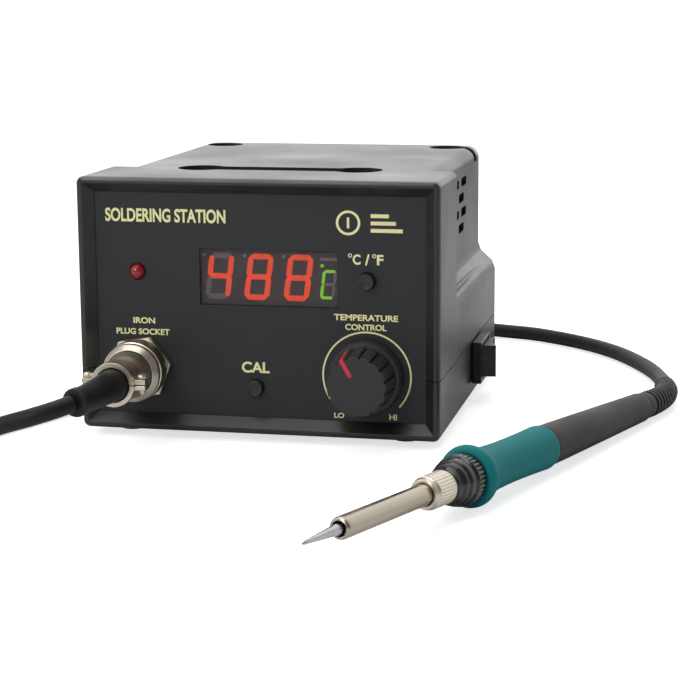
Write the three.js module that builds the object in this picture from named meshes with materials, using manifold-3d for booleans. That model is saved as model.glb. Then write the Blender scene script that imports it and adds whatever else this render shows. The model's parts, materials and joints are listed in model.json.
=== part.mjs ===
// A temperature-controlled soldering station: a two-shell case with a front and a rear panel,
// the parts inside it, and the iron lying beside it on its own cord.
// Millimetres, +Z up, the station's front facing -Y, +X to the right of somebody facing it.
import * as THREE from 'three';
import { mergeVertices } from 'three/addons/utils/BufferGeometryUtils.js';
import Module from 'manifold-3d';

const wasm = await Module();
wasm.setup();

// ---- driving dimensions ----
const caseWidth = 118;
const caseHeight = 82;
const caseDepth = 127;
const frontDepth = 34.3; // the full-width, full-height section behind the front rim
const sideInset = 6.4; // how far the upper walls behind it step in
const flareLow = 36.5; // the lower walls start to lean in at this height over the base
const flareHigh = 46.5; // and have stepped in by here
const shoulder = 4.5; // rounding of the long upper edges
const corner = 2.2; // rounding of the front frame's corners
const wall = 2.2;
const gap = 0.3; // between pieces that touch
const footHeight = 2.5;
const seamHeight = 19.5; // the joint between the shells, over the base

const panelRecess = 3.4; // from the rim back to the front panel
const panelBorder = 5; // rim and bevel together
const rimWidth = 2;
const panelThick = 2;
const rearBorder = 7;
const rearLip = 2.4;

const knobAt = [35, 19.7]; // x and height over the base
const unitButtonAt = [35.2, 50.2];
const calButtonAt = [-1.3, 14.7];
const ledAt = [-40.1, 51.4];
const socketAt = [-39.7, 20.1];
const windowAt = [3.3, 50.2];
const windowSize = [45.4, 18.1];
const knobRest = -30; // degrees, clockwise from upright seen from the front
const knobFlutes = 15;
const buttonTravel = 1;

const screwPosts = [[-26.5, 33], [26.5, 33], [-42, 117.5], [42, 117.5]];
const frontPocket = 8;
const rearPocket = 6.5;
const pocketDepth = 3.5;
const slotHalf = 5; // half the width of the slot that joins the two front pockets
const notchDrop = 5; // how far the rear pockets' notches run down the sides

const switchAt = [77.5, 12.2]; // y, and height over the base, on the right side
const switchProud = 3.2; // the switch's frame over the case's skin
const inletAt = [-18, 27]; // x, and height over the base, on the rear panel

const cordRadius = 2.75;
const coilMean = 28.5; // radius at the middle of the stored turns
const coilWide = 8.7; // half of the bundle's width
const coilTall = 10.8;
const coilAt = [-8, 171];

// the iron lies along a line from its flange to the rear end of its handle, both on the floor
const ironFlange = new THREE.Vector3(77.6, -61.9, 9);
const ironHeading = new THREE.Vector3(0.338, 0.94, -0.032).normalize();

const base = footHeight;
const top = base + caseHeight;
const half = caseWidth / 2;
const rear = caseDepth;
const upperHalf = half - sideInset;
const panelFront = panelRecess + gap;
const panelBack = panelFront + panelThick;
const degree = Math.PI / 180;

// ---- materials ----
function finish(color, roughness, metalness = 0) {
  return new THREE.MeshStandardMaterial({ color, roughness, metalness });
}
const shellPlastic = finish(0x1c1c1d, 0.45);
const panelPlastic = finish(0x222326, 0.6);
const windowPlastic = finish(0x4b4347, 0.1);
const displayPlastic = finish(0x3a3234, 0.5);
const ledRed = finish(0xa01018, 0.15);
const knobPlastic = finish(0x242426, 0.55);
const pointerRed = finish(0xd8323a, 0.4);
const blackPlastic = finish(0x161617, 0.35);
const nickel = finish(0xc9c3b6, 0.25, 1);
const steel = finish(0x9a9a98, 0.4, 1);
const tinned = finish(0xb8b8bc, 0.3, 1);
const rubber = finish(0x141414, 0.7);
const tealRubber = finish(0x1f8285, 0.6);
const handlePlastic = finish(0x2a2725, 0.45);
const boardGreen = finish(0x1d5a33, 0.5);
const copper = finish(0xa35a2a, 0.4, 1);
const laminate = finish(0x5c5e60, 0.5, 1);
const aluminium = finish(0xb5b8ba, 0.35, 1);
const ceramic = finish(0xe6e2d8, 0.6);
const bakelite = finish(0x5a2f16, 0.5);
const sleeveBlue = finish(0x1a3a78, 0.4);

// ---- solids ----
const part = new THREE.Group();

function place(name, geometry, material, parent = part) {
  const mesh = new THREE.Mesh(geometry, material);
  mesh.name = name;
  parent.add(mesh);
  return mesh;
}

function bare(geometry) {
  const copy = geometry.clone();
  copy.deleteAttribute('normal');
  copy.deleteAttribute('uv');
  return mergeVertices(copy, 1e-4);
}

function solid(geometry) {
  const merged = bare(geometry);
  const index = Array.from(merged.index.array);
  const point = new THREE.Vector3();
  const corners = (i) => [0, 1, 2].map((k) => index[i + k]);
  const kept = [];
  for (let i = 0; i < index.length; i += 3) {
    const [a, b, c] = corners(i);
    if (a !== b && b !== c && a !== c) kept.push(a, b, c);
  }
  const at = (i) => point.clone().fromBufferAttribute(merged.attributes.position, i);
  let volume = 0;
  for (let i = 0; i < kept.length; i += 3) {
    volume += at(kept[i]).dot(at(kept[i + 1]).cross(at(kept[i + 2])));
  }
  if (volume < 0) kept.reverse();
  return new wasm.Manifold(new wasm.Mesh({
    numProp: 3,
    vertProperties: Float32Array.from(merged.attributes.position.array),
    triVerts: Uint32Array.from(kept),
  }));
}

function shape(body) {
  const mesh = body.getMesh();
  const geometry = new THREE.BufferGeometry();
  geometry.setAttribute('position', new THREE.BufferAttribute(Float32Array.from(mesh.vertProperties), 3));
  geometry.setIndex(new THREE.BufferAttribute(Uint32Array.from(mesh.triVerts), 1));
  geometry.computeVertexNormals();
  return geometry;
}

function joined(bodies) {
  return bodies.reduce((sum, body) => sum.add(body));
}

function box(x0, x1, y0, y1, z0, z1) {
  const geometry = new THREE.BoxGeometry(x1 - x0, y1 - y0, z1 - z0);
  return geometry.translate((x0 + x1) / 2, (y0 + y1) / 2, (z0 + z1) / 2);
}

function boxSolid(...sides) {
  return solid(box(...sides));
}

// a turned piece: [radius, place along the axis] pairs round +Y
function turned(profile, sides = 20) {
  const points = profile.map(([radius, along]) => new THREE.Vector2(radius, along));
  return shape(solid(new THREE.LatheGeometry(points, sides)));
}

// a plain rod along Y
function rod(radius, y0, y1, sides = 20) {
  return turned([[0, y0], [radius, y0], [radius, y1], [0, y1]], sides);
}

// a tube along Y: its profile closes on itself
function tube(inner, outer, y0, y1, sides = 20) {
  return turned([[inner, y0], [outer, y0], [outer, y1], [inner, y1], [inner, y0]], sides);
}

function rodZ(radius, x, y, z0, z1, sides = 16) {
  return solid(rod(radius, z0, z1, sides).rotateX(90 * degree).translate(x, y, 0));
}

function rodY(radius, x, z, y0, y1, sides = 20) {
  return solid(rod(radius, y0, y1, sides).translate(x, 0, z));
}

function roundedOutline(x0, x1, z0, z1, radius) {
  const outline = new THREE.Shape();
  outline.moveTo(x0 + radius, z0);
  outline.lineTo(x1 - radius, z0);
  outline.absarc(x1 - radius, z0 + radius, radius, -Math.PI / 2, 0);
  outline.lineTo(x1, z1 - radius);
  outline.absarc(x1 - radius, z1 - radius, radius, 0, Math.PI / 2);
  outline.lineTo(x0 + radius, z1);
  outline.absarc(x0 + radius, z1 - radius, radius, Math.PI / 2, Math.PI);
  outline.lineTo(x0, z0 + radius);
  outline.absarc(x0 + radius, z0 + radius, radius, Math.PI, Math.PI * 1.5);
  return outline;
}

// an outline in X and Z pulled along Y, its end edges rounded by edge
function pulled(outline, y0, y1, edge = 0, curveSegments = 3) {
  const geometry = new THREE.ExtrudeGeometry(outline, {
    depth: y1 - y0 - 2 * edge,
    bevelEnabled: edge > 0,
    bevelSize: edge,
    bevelThickness: edge,
    bevelOffset: -edge,
    bevelSegments: 2,
    curveSegments,
  });
  return geometry.rotateX(90 * degree).translate(0, y1 - edge, 0);
}

// ---- the case ----
// the cross-section behind the front section, shrunk all round by inset
function rearOutline(inset) {
  const wide = half - inset;
  const narrow = upperHalf - inset;
  const low = base + inset;
  const high = top - inset;
  const foot = Math.max(corner - inset, 0.4);
  const arc = Math.max(shoulder - inset, 0.4);
  const lowZ = base + flareLow;
  const highZ = base + flareHigh;
  const middleZ = (lowZ + highZ) / 2;
  const outline = new THREE.Shape();
  outline.moveTo(-wide + foot, low);
  outline.lineTo(wide - foot, low);
  outline.absarc(wide - foot, low + foot, foot, -Math.PI / 2, 0);
  outline.lineTo(wide, lowZ);
  outline.bezierCurveTo(wide, middleZ, narrow, middleZ, narrow, highZ);
  outline.lineTo(narrow, high - arc);
  outline.absarc(narrow - arc, high - arc, arc, 0, Math.PI / 2);
  outline.lineTo(-narrow + arc, high);
  outline.absarc(-narrow + arc, high - arc, arc, Math.PI / 2, Math.PI);
  outline.lineTo(-narrow, highZ);
  outline.bezierCurveTo(-narrow, middleZ, -wide, middleZ, -wide, lowZ);
  outline.lineTo(-wide, low + foot);
  outline.absarc(-wide + foot, low + foot, foot, Math.PI, Math.PI * 1.5);
  return outline;
}

// the opening in the front: a funnel from the rim back to the panel
function frontFunnel() {
  const deep = panelRecess + gap;
  const wide = half - rimWidth;
  const narrow = half - panelBorder;
  const taper = (wide - narrow) / panelRecess;
  const mouth = new THREE.BufferGeometry();
  const ring = (y) => {
    const inset = y < 0 ? 0 : Math.min(y, panelRecess) * taper;
    const x = wide - inset;
    return [[-x, base + rimWidth + inset], [x, base + rimWidth + inset],
      [x, top - rimWidth - inset], [-x, top - rimWidth - inset]].map(([u, v]) => [u, y, v]);
  };
  const rings = [-1, 0, panelRecess, deep + 1].map(ring);
  const index = [];
  for (let level = 0; level < rings.length - 1; level += 1) {
    for (let side = 0; side < 4; side += 1) {
      const a = level * 4 + side;
      const b = level * 4 + (side + 1) % 4;
      index.push(a, b, b + 4, a, b + 4, a + 4);
    }
  }
  const last = (rings.length - 1) * 4;
  index.push(0, 2, 1, 0, 3, 2, last, last + 1, last + 2, last, last + 2, last + 3);
  mouth.setAttribute('position', new THREE.BufferAttribute(Float32Array.from(rings.flat(2)), 3));
  mouth.setIndex(index);
  return solid(mouth);
}

function ventSlots(side) {
  const slotLength = 11.3;
  const slotHeight = 3.1;
  const pitch = 16.4;
  const rows = [[72.8, 89.4, 4], [67.5, 84, 3], [62.2, 89.4, 4], [56.9, 84, 3]]; // height, rearmost, count
  const slots = [];
  for (const [height, last, count] of rows) {
    for (let n = 0; n < count; n += 1) {
      const y = last - n * pitch;
      const outline = roundedOutline(
        y - slotLength / 2, y + slotLength / 2,
        base + height - slotHeight / 2, base + height + slotHeight / 2, 1,
      );
      const cutter = pulled(outline, upperHalf - wall - 2, upperHalf + 2, 0, 1);
      slots.push(solid(cutter.rotateZ(-90 * degree).scale(side, -1, 1)));
    }
  }
  return joined(slots);
}

function topPockets() {
  const floor = top - pocketDepth;
  const cuts = [];
  screwPosts.forEach(([x, y], n) => {
    cuts.push(rodZ(n < 2 ? frontPocket : rearPocket, x, y, floor, top + 1, 24));
    cuts.push(rodZ(1.9, x, y, floor - 4, floor + 1, 10));
  });
  const [leftX, slotY] = screwPosts[0];
  cuts.push(boxSolid(leftX, -leftX, slotY - slotHalf, slotY + slotHalf, floor, top + 1));
  for (const side of [-1, 1]) {
    const out = side * (upperHalf + 2);
    const inner = side * (upperHalf - 1.3);
    const [x, y] = screwPosts[3];
    const [lowX, highX] = [Math.min(side * x, out), Math.max(side * x, out)];
    cuts.push(boxSolid(lowX, highX, y - 3, y + 3, top - 2.2, top + 1));
    cuts.push(boxSolid(Math.min(inner, out), Math.max(inner, out), y - 3, y + 3, top - notchDrop, top + 1));
  }
  return joined(cuts);
}

function caseOutside() {
  const frontBlock = solid(pulled(roundedOutline(-half, half, base, top, corner), 0, frontDepth, 1.3));
  const rearBlock = solid(pulled(rearOutline(0), frontDepth - 4, rear, 1.2, 4));
  return frontBlock.add(rearBlock);
}

function caseInside() {
  const frontRoom = boxSolid(
    -half + wall, half - wall, panelRecess, frontDepth - wall, base + wall, top - wall,
  );
  const rearRoom = solid(pulled(rearOutline(wall + 0.1), frontDepth - 6, rear - rearLip, 0, 4));
  return frontRoom.add(rearRoom);
}

function panelRibs() {
  const ribs = [];
  const ribDepth = 1.6;
  const heights = [[base + 8, base + 14], [base + 30, base + 40], [top - 18, top - 10]];
  for (const side of [-1, 1]) {
    for (const [z0, z1] of heights) {
      const wallX = half - wall + 0.5;
      const x = [side * (wallX - 3.5), side * wallX].sort((a, b) => a - b);
      ribs.push(boxSolid(x[0], x[1], panelBack + gap, panelBack + gap + ribDepth, z0, z1));
    }
  }
  return joined(ribs);
}

function caseShells() {
  const floor = top - pocketDepth;
  let body = caseOutside().subtract(caseInside());
  const bosses = screwPosts.map(([x, y], n) => (
    rodZ((n < 2 ? frontPocket : rearPocket) + 1.6, x, y, floor - 2.4, top - 1)
  ));
  const room = solid(pulled(rearOutline(1), 4, rear - 1, 0, 4));
  body = body.add(joined(bosses).intersect(room));
  const [leftX, slotY] = screwPosts[0];
  const bedHalf = slotHalf + 2;
  const slotBed = boxSolid(leftX, -leftX, slotY - bedHalf, slotY + bedHalf, floor - 2.4, top - 1);
  body = body.add(slotBed).add(panelRibs());
  body = body.subtract(frontFunnel()).subtract(topPockets());
  body = body.subtract(ventSlots(1)).subtract(ventSlots(-1));
  const rearMouth = boxSolid(
    -upperHalf + rearBorder, upperHalf - rearBorder, rear - rearLip - 2, rear + 2,
    base + rearBorder, top - rearBorder,
  );
  body = body.subtract(rearMouth);
  const seam = base + seamHeight;
  const [switchY, switchZ] = switchAt;
  const upper = body.subtract(boxSolid(-90, 90, -5, 140, -5, seam + gap / 2));
  let lower = body.subtract(boxSolid(-90, 90, -5, 140, seam - gap / 2, top + 5));
  const posts = screwPosts.map(([x, y]) => (
    rodZ(4, x, y, base + 1, floor - 2.4 - gap, 16)
      .subtract(rodZ(1.9, x, y, floor - 22, floor, 12))
  ));
  lower = lower.add(joined(posts));
  for (const [x, y] of footPlaces()) lower = lower.subtract(rodZ(1.8, x, y, base - 1, base + 3, 12));
  for (const [x, y] of transformerScrews()) {
    lower = lower.add(rodZ(3.4, x, y, base + 1, transformerFloor - gap, 12));
    lower = lower.subtract(rodZ(1.8, x, y, base + 3, transformerFloor + 1, 12));
  }
  for (const [x, y] of boardPosts()) lower = lower.add(rodZ(2.4, x, y, base + 1, boardFloor - gap, 12));
  lower = lower.subtract(boxSolid(
    half - wall - 2, half + 2, switchY - 9.9, switchY + 9.9, base + switchZ - 6.9, base + switchZ + 6.9,
  ));
  return [shape(upper), shape(lower)];
}

function footPlaces() {
  return [[-46, 14], [46, 14], [-46, 113], [46, 113]];
}

function makeCase() {
  const [upper, lower] = caseShells();
  place('upper_shell', upper, shellPlastic);
  place('lower_shell', lower, shellPlastic);
  const names = ['front_left', 'front_right', 'rear_left', 'rear_right'];
  footPlaces().forEach(([x, y], n) => {
    const foot = turned([[0, 0], [4.5, 0], [5, 0.6], [5, footHeight - gap], [1.5, footHeight - gap],
      [1.5, footHeight + 2.4], [0, footHeight + 2.4]], 14);
    place(`foot_${names[n]}`, foot.rotateX(90 * degree).translate(x, y, 0), rubber);
  });
  screwPosts.forEach(([x, y], n) => {
    const seat = top - pocketDepth + gap;
    const screw = turned([[0, seat - 16], [1.5, seat - 15], [1.5, seat], [3, seat], [3, seat + 1.2],
      [1.8, seat + 2], [0, seat + 2]], 10);
    place(`case_screw_${names[n]}`, screw.rotateX(90 * degree).translate(x, y, 0), blackPlastic);
  });
}

function makeFrontPanel() {
  let plate = boxSolid(
    -half + wall + gap, half - wall - gap, panelFront, panelBack, base + wall + gap, top - wall - gap,
  );
  const hole = (radius, [x, z]) => rodY(radius, x, base + z, panelFront - 1, panelBack + 1, 24);
  const [wx, wz] = windowAt;
  const [ww, wh] = windowSize;
  plate = plate.subtract(boxSolid(
    wx - ww / 2, wx + ww / 2, panelFront - 1, panelBack + 1, base + wz - wh / 2, base + wz + wh / 2,
  ));
  plate = plate.subtract(hole(2.85, unitButtonAt)).subtract(hole(2.85, calButtonAt));
  plate = plate.subtract(hole(2.8, ledAt)).subtract(hole(8.3, socketAt)).subtract(hole(3.9, knobAt));
  place('front_panel', shape(plate), panelPlastic);
  place('display_window', box(
    wx - ww / 2 + gap, wx + ww / 2 - gap, panelFront + 0.1, panelFront + 1.5,
    base + wz - wh / 2 + gap, base + wz + wh / 2 - gap,
  ), windowPlastic);
}

// ---- what sits behind the front panel ----
const displayFront = panelBack + 0.2;
const controlBoard = 14.6;
const switchTall = 3.6; // the push switches on the board, behind the two buttons

function makeControls() {
  const [wx, wz] = windowAt;
  let board = boxSolid(-27, 49, controlBoard, controlBoard + 1.6, base + 8, base + 74);
  for (const [x, z] of [unitButtonAt, calButtonAt]) {
    board = board.add(boxSolid(
      x - 3, x + 3, controlBoard - switchTall, controlBoard + 0.5, base + z - 3, base + z + 3,
    ));
  }
  place('control_board', shape(board), boardGreen);
  place('display_module', box(wx - 24.5, wx + 24.5, displayFront, controlBoard - gap,
    base + wz - 9.7, base + wz + 9.7), displayPlastic);
  const led = turned([[0, panelFront - 2.4], [1.4, panelFront - 2], [2.2, panelFront - 1], [2.5, panelFront],
    [2.5, panelBack + gap], [3, panelBack + gap], [3, panelBack + 1.4], [0, panelBack + 1.4]], 20);
  place('power_led', led.translate(ledAt[0], 0, base + ledAt[1]), ledRed);
}

function makeButton(name, [x, z], proud) {
  const face = panelFront - proud;
  const flange = panelBack + gap;
  const stemEnd = controlBoard - switchTall - buttonTravel - gap;
  const cap = turned([[0, face], [2.2, face], [2.65, face + 0.45], [2.65, flange], [3.6, flange],
    [3.6, flange + 0.9], [1.4, flange + 0.9], [1.4, stemEnd], [0, stemEnd]], 24);
  place(`${name}_button`, cap.translate(x, 0, base + z), blackPlastic);
}

function makeKnob() {
  const [x, z] = knobAt;
  const body = turned([[3.08, panelFront - 6], [3.6, panelFront - 6], [3.6, panelBack + gap],
    [8.5, panelBack + gap], [8.5, controlBoard - gap], [0, controlBoard - gap],
    [0, controlBoard - 2], [3.08, controlBoard - 2], [3.08, panelFront - 6]], 24);
  place('potentiometer', body.translate(x, 0, base + z), steel);

  const spin = new THREE.Group();
  spin.position.set(x, 0, base + z);
  spin.rotation.y = knobRest * degree;
  part.add(spin);
  const face = -13;
  const skirt = panelFront - 0.6;
  place('potentiometer_shaft', rod(3, face + 4, controlBoard - 2 - gap, 24), steel, spin);
  let knob = solid(turned([[0, face], [9, face], [9.6, face + 0.6], [10.4, -1.2], [11.6, 0.3],
    [11.8, skirt - 0.5], [11.4, skirt], [0, skirt]], 24));
  knob = knob.subtract(rodY(3.3, 0, 0, face + 3.5, 9)).subtract(rodY(6.4, 0, 0, panelFront - 6.6, 9));
  const flutes = [];
  for (let n = 0; n < knobFlutes; n += 1) {
    const turn = (n + 0.5) * 360 / knobFlutes * degree;
    flutes.push(rodY(0.8, 10.3 * Math.sin(turn), 10.3 * Math.cos(turn), face - 1, -1.6, 5));
  }
  knob = knob.subtract(joined(flutes));
  knob = knob.subtract(boxSolid(-0.95, 0.95, face - 1, face + 0.8, 1.7, 12));
  place('temperature_knob', shape(knob), knobPlastic, spin);
  place('knob_pointer', box(-0.65, 0.65, face, face + 0.5, 2, 9), pointerRed, spin);
}

// ---- the iron's socket and plug ----
const clampNear = -19; // the cable clamp's end towards the panel
const clampFar = -25.5;
const clampScrewAt = 8.8;
const bootEnd = new THREE.Vector3(-43.5, -50, base + 19.6);

function makeSocket() {
  const [x, height] = socketAt;
  const z = base + height;
  const flangeFront = panelBack + gap;
  const body = turned([[6.9, -4.5], [8, -4.5], [8, flangeFront], [9.6, flangeFront],
    [9.6, flangeFront + 1.7], [8, flangeFront + 1.7], [8, 14], [6.9, 14], [6.9, -4.5]], 24);
  place('panel_socket', body.translate(x, 0, z), nickel);
  const hex = new THREE.CylinderGeometry(10.9, 10.9, 2.7, 6).rotateY(21 * degree);
  const nut = solid(hex.translate(0, panelFront - gap - 1.35, 0)).subtract(rodY(8.3, 0, 0, -9, 9, 24));
  place('socket_nut', shape(nut).translate(x, 0, z), nickel);
  let insert = rodY(6.6, 0, 0, -1, 12, 20);
  for (let n = 0; n < 5; n += 1) {
    const turn = (54 * n + 72) * degree;
    insert = insert.add(rodY(0.8, 3.6 * Math.sin(turn), 3.6 * Math.cos(turn), -4, 17, 6));
  }
  place('socket_insert', shape(insert).translate(x, 0, z), bakelite);
}

function makePlug() {
  const [x, height] = socketAt;
  const z = base + height;
  // knurled, with a wide chamfer in front and a lip that holds the shell's shoulder
  const ring = turned([[8.2, 0.3], [9.8, 0.3], [9.8, -5.2], [9.3, -5.6], [9.5, -6.2], [9.5, -7.3],
    [7.9, -9.2], [7.75, -9.2], [7.75, -7.4], [8.2, -7.2], [8.2, 0.3]], 24);
  place('coupling_ring', ring.translate(x, 0, z), nickel);
  const shell = turned([[6, -4.9], [7.9, -4.9], [7.9, -6.9], [7.4, -6.9], [7.4, -9.4], [7.2, -11],
    [6.7, -13], [6.1, -14.8], [5.9, -15.8], [5.9, clampNear + gap], [4.4, clampNear + gap],
    [4.4, -13], [6, -11], [6, -4.9]], 24);
  let dome = solid(shell);
  for (let n = 0; n < 6; n += 1) {
    const notch = boxSolid(-1.1, 1.1, clampNear - 1, -17, 4, 8);
    dome = dome.subtract(notch.rotate([0, n * 60, 0]));
  }
  place('plug_shell', shape(dome).translate(x, 0, z), nickel);
  // two half clamps round the boot, closed by two screws that run down through their ears
  const saddle = solid(tube(5.5, 7.1, clampFar, clampNear, 24));
  const ears = boxSolid(-10.4, 10.4, clampFar + 1.1, clampNear - 1.1, -1.7, 1.7)
    .subtract(rodY(6.5, 0, 0, -40, 0, 24));
  const holeZ = (at) => rodZ(1.1, at, (clampFar + clampNear) / 2, -5, 5, 10);
  const clamp = saddle.add(ears).subtract(holeZ(clampScrewAt)).subtract(holeZ(-clampScrewAt));
  const upperHalfClamp = clamp.subtract(boxSolid(-12, 12, -30, -10, -12, gap / 2));
  const lowerHalfClamp = clamp.subtract(boxSolid(-12, 12, -30, -10, -gap / 2, 12));
  place('cable_clamp_upper', shape(upperHalfClamp).translate(x, 0, z), nickel);
  place('cable_clamp_lower', shape(lowerHalfClamp).translate(x, 0, z), nickel);
  for (const [name, side] of [['left', -1], ['right', 1]]) {
    const screw = turned([[0, -3], [0.8, -3], [0.8, 1.7 + gap], [1.5, 1.7 + gap], [1.4, 3.1], [0, 3.1]], 10);
    place(`clamp_screw_${name}`, screw.rotateX(90 * degree)
      .translate(x + side * clampScrewAt, (clampFar + clampNear) / 2, z), nickel);
  }
  const boot = bentAlong([[0, 0], [5.2, 0], [5.2, 6], [4.9, 9], [4.1, 29], [4.5, 29.6], [4.5, 32], [4, 32.6],
    [0, 32.6]], bootRoute(), 14);
  place('plug_boot', boot, rubber);
}

// ---- things bent along a curve ----
// a turned profile of [radius, place along] pairs laid along a curve, from its start
function bentAlong(profile, curve, sides) {
  const length = curve.getLength();
  const geometry = turned(profile, sides);
  const position = geometry.attributes.position;
  const point = new THREE.Vector3();
  const up = new THREE.Vector3(0, 0, 1);
  for (let n = 0; n < position.count; n += 1) {
    point.fromBufferAttribute(position, n);
    const t = Math.min(Math.max(point.y / length, 0), 1);
    const ahead = curve.getTangentAt(t);
    const across = new THREE.Vector3().crossVectors(ahead, up).normalize();
    const above = new THREE.Vector3().crossVectors(across, ahead);
    const where = curve.getPointAt(t).addScaledVector(across, point.x).addScaledVector(above, point.z);
    position.setXYZ(n, where.x, where.y, where.z);
  }
  return shape(solid(geometry));
}

function route(points) {
  const curve = new THREE.CatmullRomCurve3(points.map(([x, y, z]) => new THREE.Vector3(x, y, z)));
  curve.curveType = 'centripetal';
  curve.arcLengthDivisions = 400;
  return curve;
}

function bootRoute() {
  const [x, height] = socketAt;
  const z = base + height;
  return route([[x, clampNear - gap, z], [x, -25, z], [x - 0.4, -33, z], [x - 1.6, -42, z - 0.2],
    [bootEnd.x, bootEnd.y, bootEnd.z]]);
}

// ---- inside the case ----
const transformerFloor = base + 8;
const boardFloor = base + 7;
const transformerAt = [-15, 70];
const coreSize = [57, 30, 48]; // width, stack, height

function transformerScrews() {
  const [x, y] = transformerAt;
  return [[x - 34, y], [x + 34, y]];
}

function boardPosts() {
  return [[28, 42], [37.5, 42], [28, 108], [37.5, 108]];
}

function makeTransformer() {
  const [x, y] = transformerAt;
  const [width, stack, height] = coreSize;
  const floor = transformerFloor + 1.2 + gap;
  const leg = 9.5;
  const windowOuter = width / 2 - leg;
  const [near, far] = [y - stack / 2, y + stack / 2];
  let core = boxSolid(x - width / 2, x + width / 2, near, far, floor, floor + height);
  for (const [x0, x1] of [[-windowOuter, -leg], [leg, windowOuter]]) {
    core = core.subtract(boxSolid(x + x0, x + x1, near - 1, far + 1, floor + leg, floor + height - leg));
  }
  place('transformer_core', shape(core), laminate);
  const reach = width / 2 - leg - gap;
  const winding = solid(pulled(roundedOutline(-reach, reach, 0, stack + 2 * 8.5, 3), 0, height - 2 * leg - 1))
    .subtract(boxSolid(-leg - gap, leg + gap, -1, 60, 8.5 - gap, 8.5 + stack + gap));
  place('transformer_winding', shape(winding).rotateX(90 * degree)
    .translate(x, y + stack / 2 + 8.5, floor + leg + 0.5), copper);
  const strap = new THREE.Shape();
  const inner = width / 2 + gap;
  const outer = inner + 1.2;
  const high = height + 1.2 + 2 * gap;
  strap.moveTo(-outer - 9, 0);
  strap.lineTo(-inner, 0);
  strap.lineTo(-inner, high);
  strap.lineTo(inner, high);
  strap.lineTo(inner, 0);
  strap.lineTo(outer + 9, 0);
  strap.lineTo(outer + 9, 1.2);
  strap.lineTo(outer, 1.2);
  strap.lineTo(outer, high + 1.2);
  strap.lineTo(-outer, high + 1.2);
  strap.lineTo(-outer, 1.2);
  strap.lineTo(-outer - 9, 1.2);
  let bracket = solid(pulled(strap, y - 7, y + 7).translate(x, 0, transformerFloor));
  for (const [sx, sy] of transformerScrews()) {
    bracket = bracket.subtract(rodZ(1.9, sx, sy, transformerFloor - 1, transformerFloor + 3, 10));
  }
  place('transformer_bracket', shape(bracket), steel);
}

function makeMainBoard() {
  const upperFace = boardFloor + 1.6;
  place('main_board', box(25, 40.3, 39, 111, boardFloor, upperFace), boardGreen);
  const can = turned([[0, upperFace + gap], [6.5, upperFace + gap], [6.5, upperFace + 24.4],
    [6, upperFace + 25], [0, upperFace + 25]], 16);
  place('smoothing_capacitor', can.rotateX(90 * degree).translate(33, 50, 0), sleeveBlue);
  const fins = [boxSolid(26, 28, 66, 98, upperFace + gap, upperFace + 28)];
  for (let n = 0; n < 6; n += 1) {
    fins.push(boxSolid(27.5, 34, 67 + n * 5.75, 68.5 + n * 5.75, upperFace + gap, upperFace + 28));
  }
  place('heat_sink', shape(joined(fins)), aluminium);
  place('triac', box(21.2, 25.7, 76, 86, upperFace + 10, upperFace + 25), blackPlastic);
}

// ---- the mains side ----
function makeRearPanel() {
  const back = rear - rearLip - gap;
  const [x, height] = inletAt;
  const z = base + height;
  let plate = boxSolid(-upperHalf + wall + gap, upperHalf - wall - gap, back - 2, back,
    base + 4, top - 6.2);
  plate = plate.subtract(boxSolid(x - 14.3, x + 14.3, back - 3, back + 1, z - 15.3, z + 11.3));
  for (const side of [-1, 1]) plate = plate.subtract(rodY(1.9, x + side * 20, z, back - 3, back + 1, 12));
  place('rear_panel', shape(plate), panelPlastic);
}

function makeInlet() {
  const face = rear - rearLip - gap + 3;
  const seat = rear - rearLip;
  const [x, height] = inletAt;
  const z = base + height;
  let body = solid(pulled(roundedOutline(x - 25, x + 25, z - 17, z + 13, 3), seat, face + 0.6, 0.4))
    .add(boxSolid(x - 14, x + 14, seat - 21, seat + 1, z - 15, z + 11));
  body = body.subtract(boxSolid(x - 12.2, x + 12.2, face - 16, face + 2, z - 6.6, z + 9.4));
  body = body.subtract(boxSolid(x - 11.3, x + 11.3, face - 18, face + 2, z - 14, z - 8.2));
  for (const side of [-1, 1]) body = body.subtract(rodY(1.9, x + side * 20, z, seat - 3, face + 2, 12));
  const pins = [['live', 7, 0], ['neutral', -7, 0], ['earth', 0, 4]];
  for (const [, px, pz] of pins) {
    body = body.subtract(boxSolid(x + px - 1.3, x + px + 1.3, seat - 30, face, z + pz - 2.3, z + pz + 2.3));
  }
  place('mains_inlet', shape(body), blackPlastic);
  for (const [name, px, pz] of pins) {
    const pin = box(x + px - 1, x + px + 1, seat - 27, face - 6, z + pz - 2, z + pz + 2);
    place(`inlet_pin_${name}`, pin, nickel);
  }
  const drawer = boxSolid(x - 11, x + 11, face - 17, face + 0.6, z - 13.7, z - 8.5)
    .subtract(boxSolid(x - 9.6, x + 9.6, face - 15, face - 2, z - 12.6, z - 6));
  place('fuse_drawer', shape(drawer), blackPlastic);
  for (const [name, side] of [['left', -1], ['right', 1]]) {
    const under = face + 0.6 + gap;
    const screw = turned([[0, seat - 2.6], [1.5, seat - 2.6], [1.5, under], [2.9, under],
      [2.6, face + 2.4], [0, face + 2.4]], 12);
    place(`inlet_screw_${name}`, screw.translate(x - side * 20, 0, z), nickel);
  }
}

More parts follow.
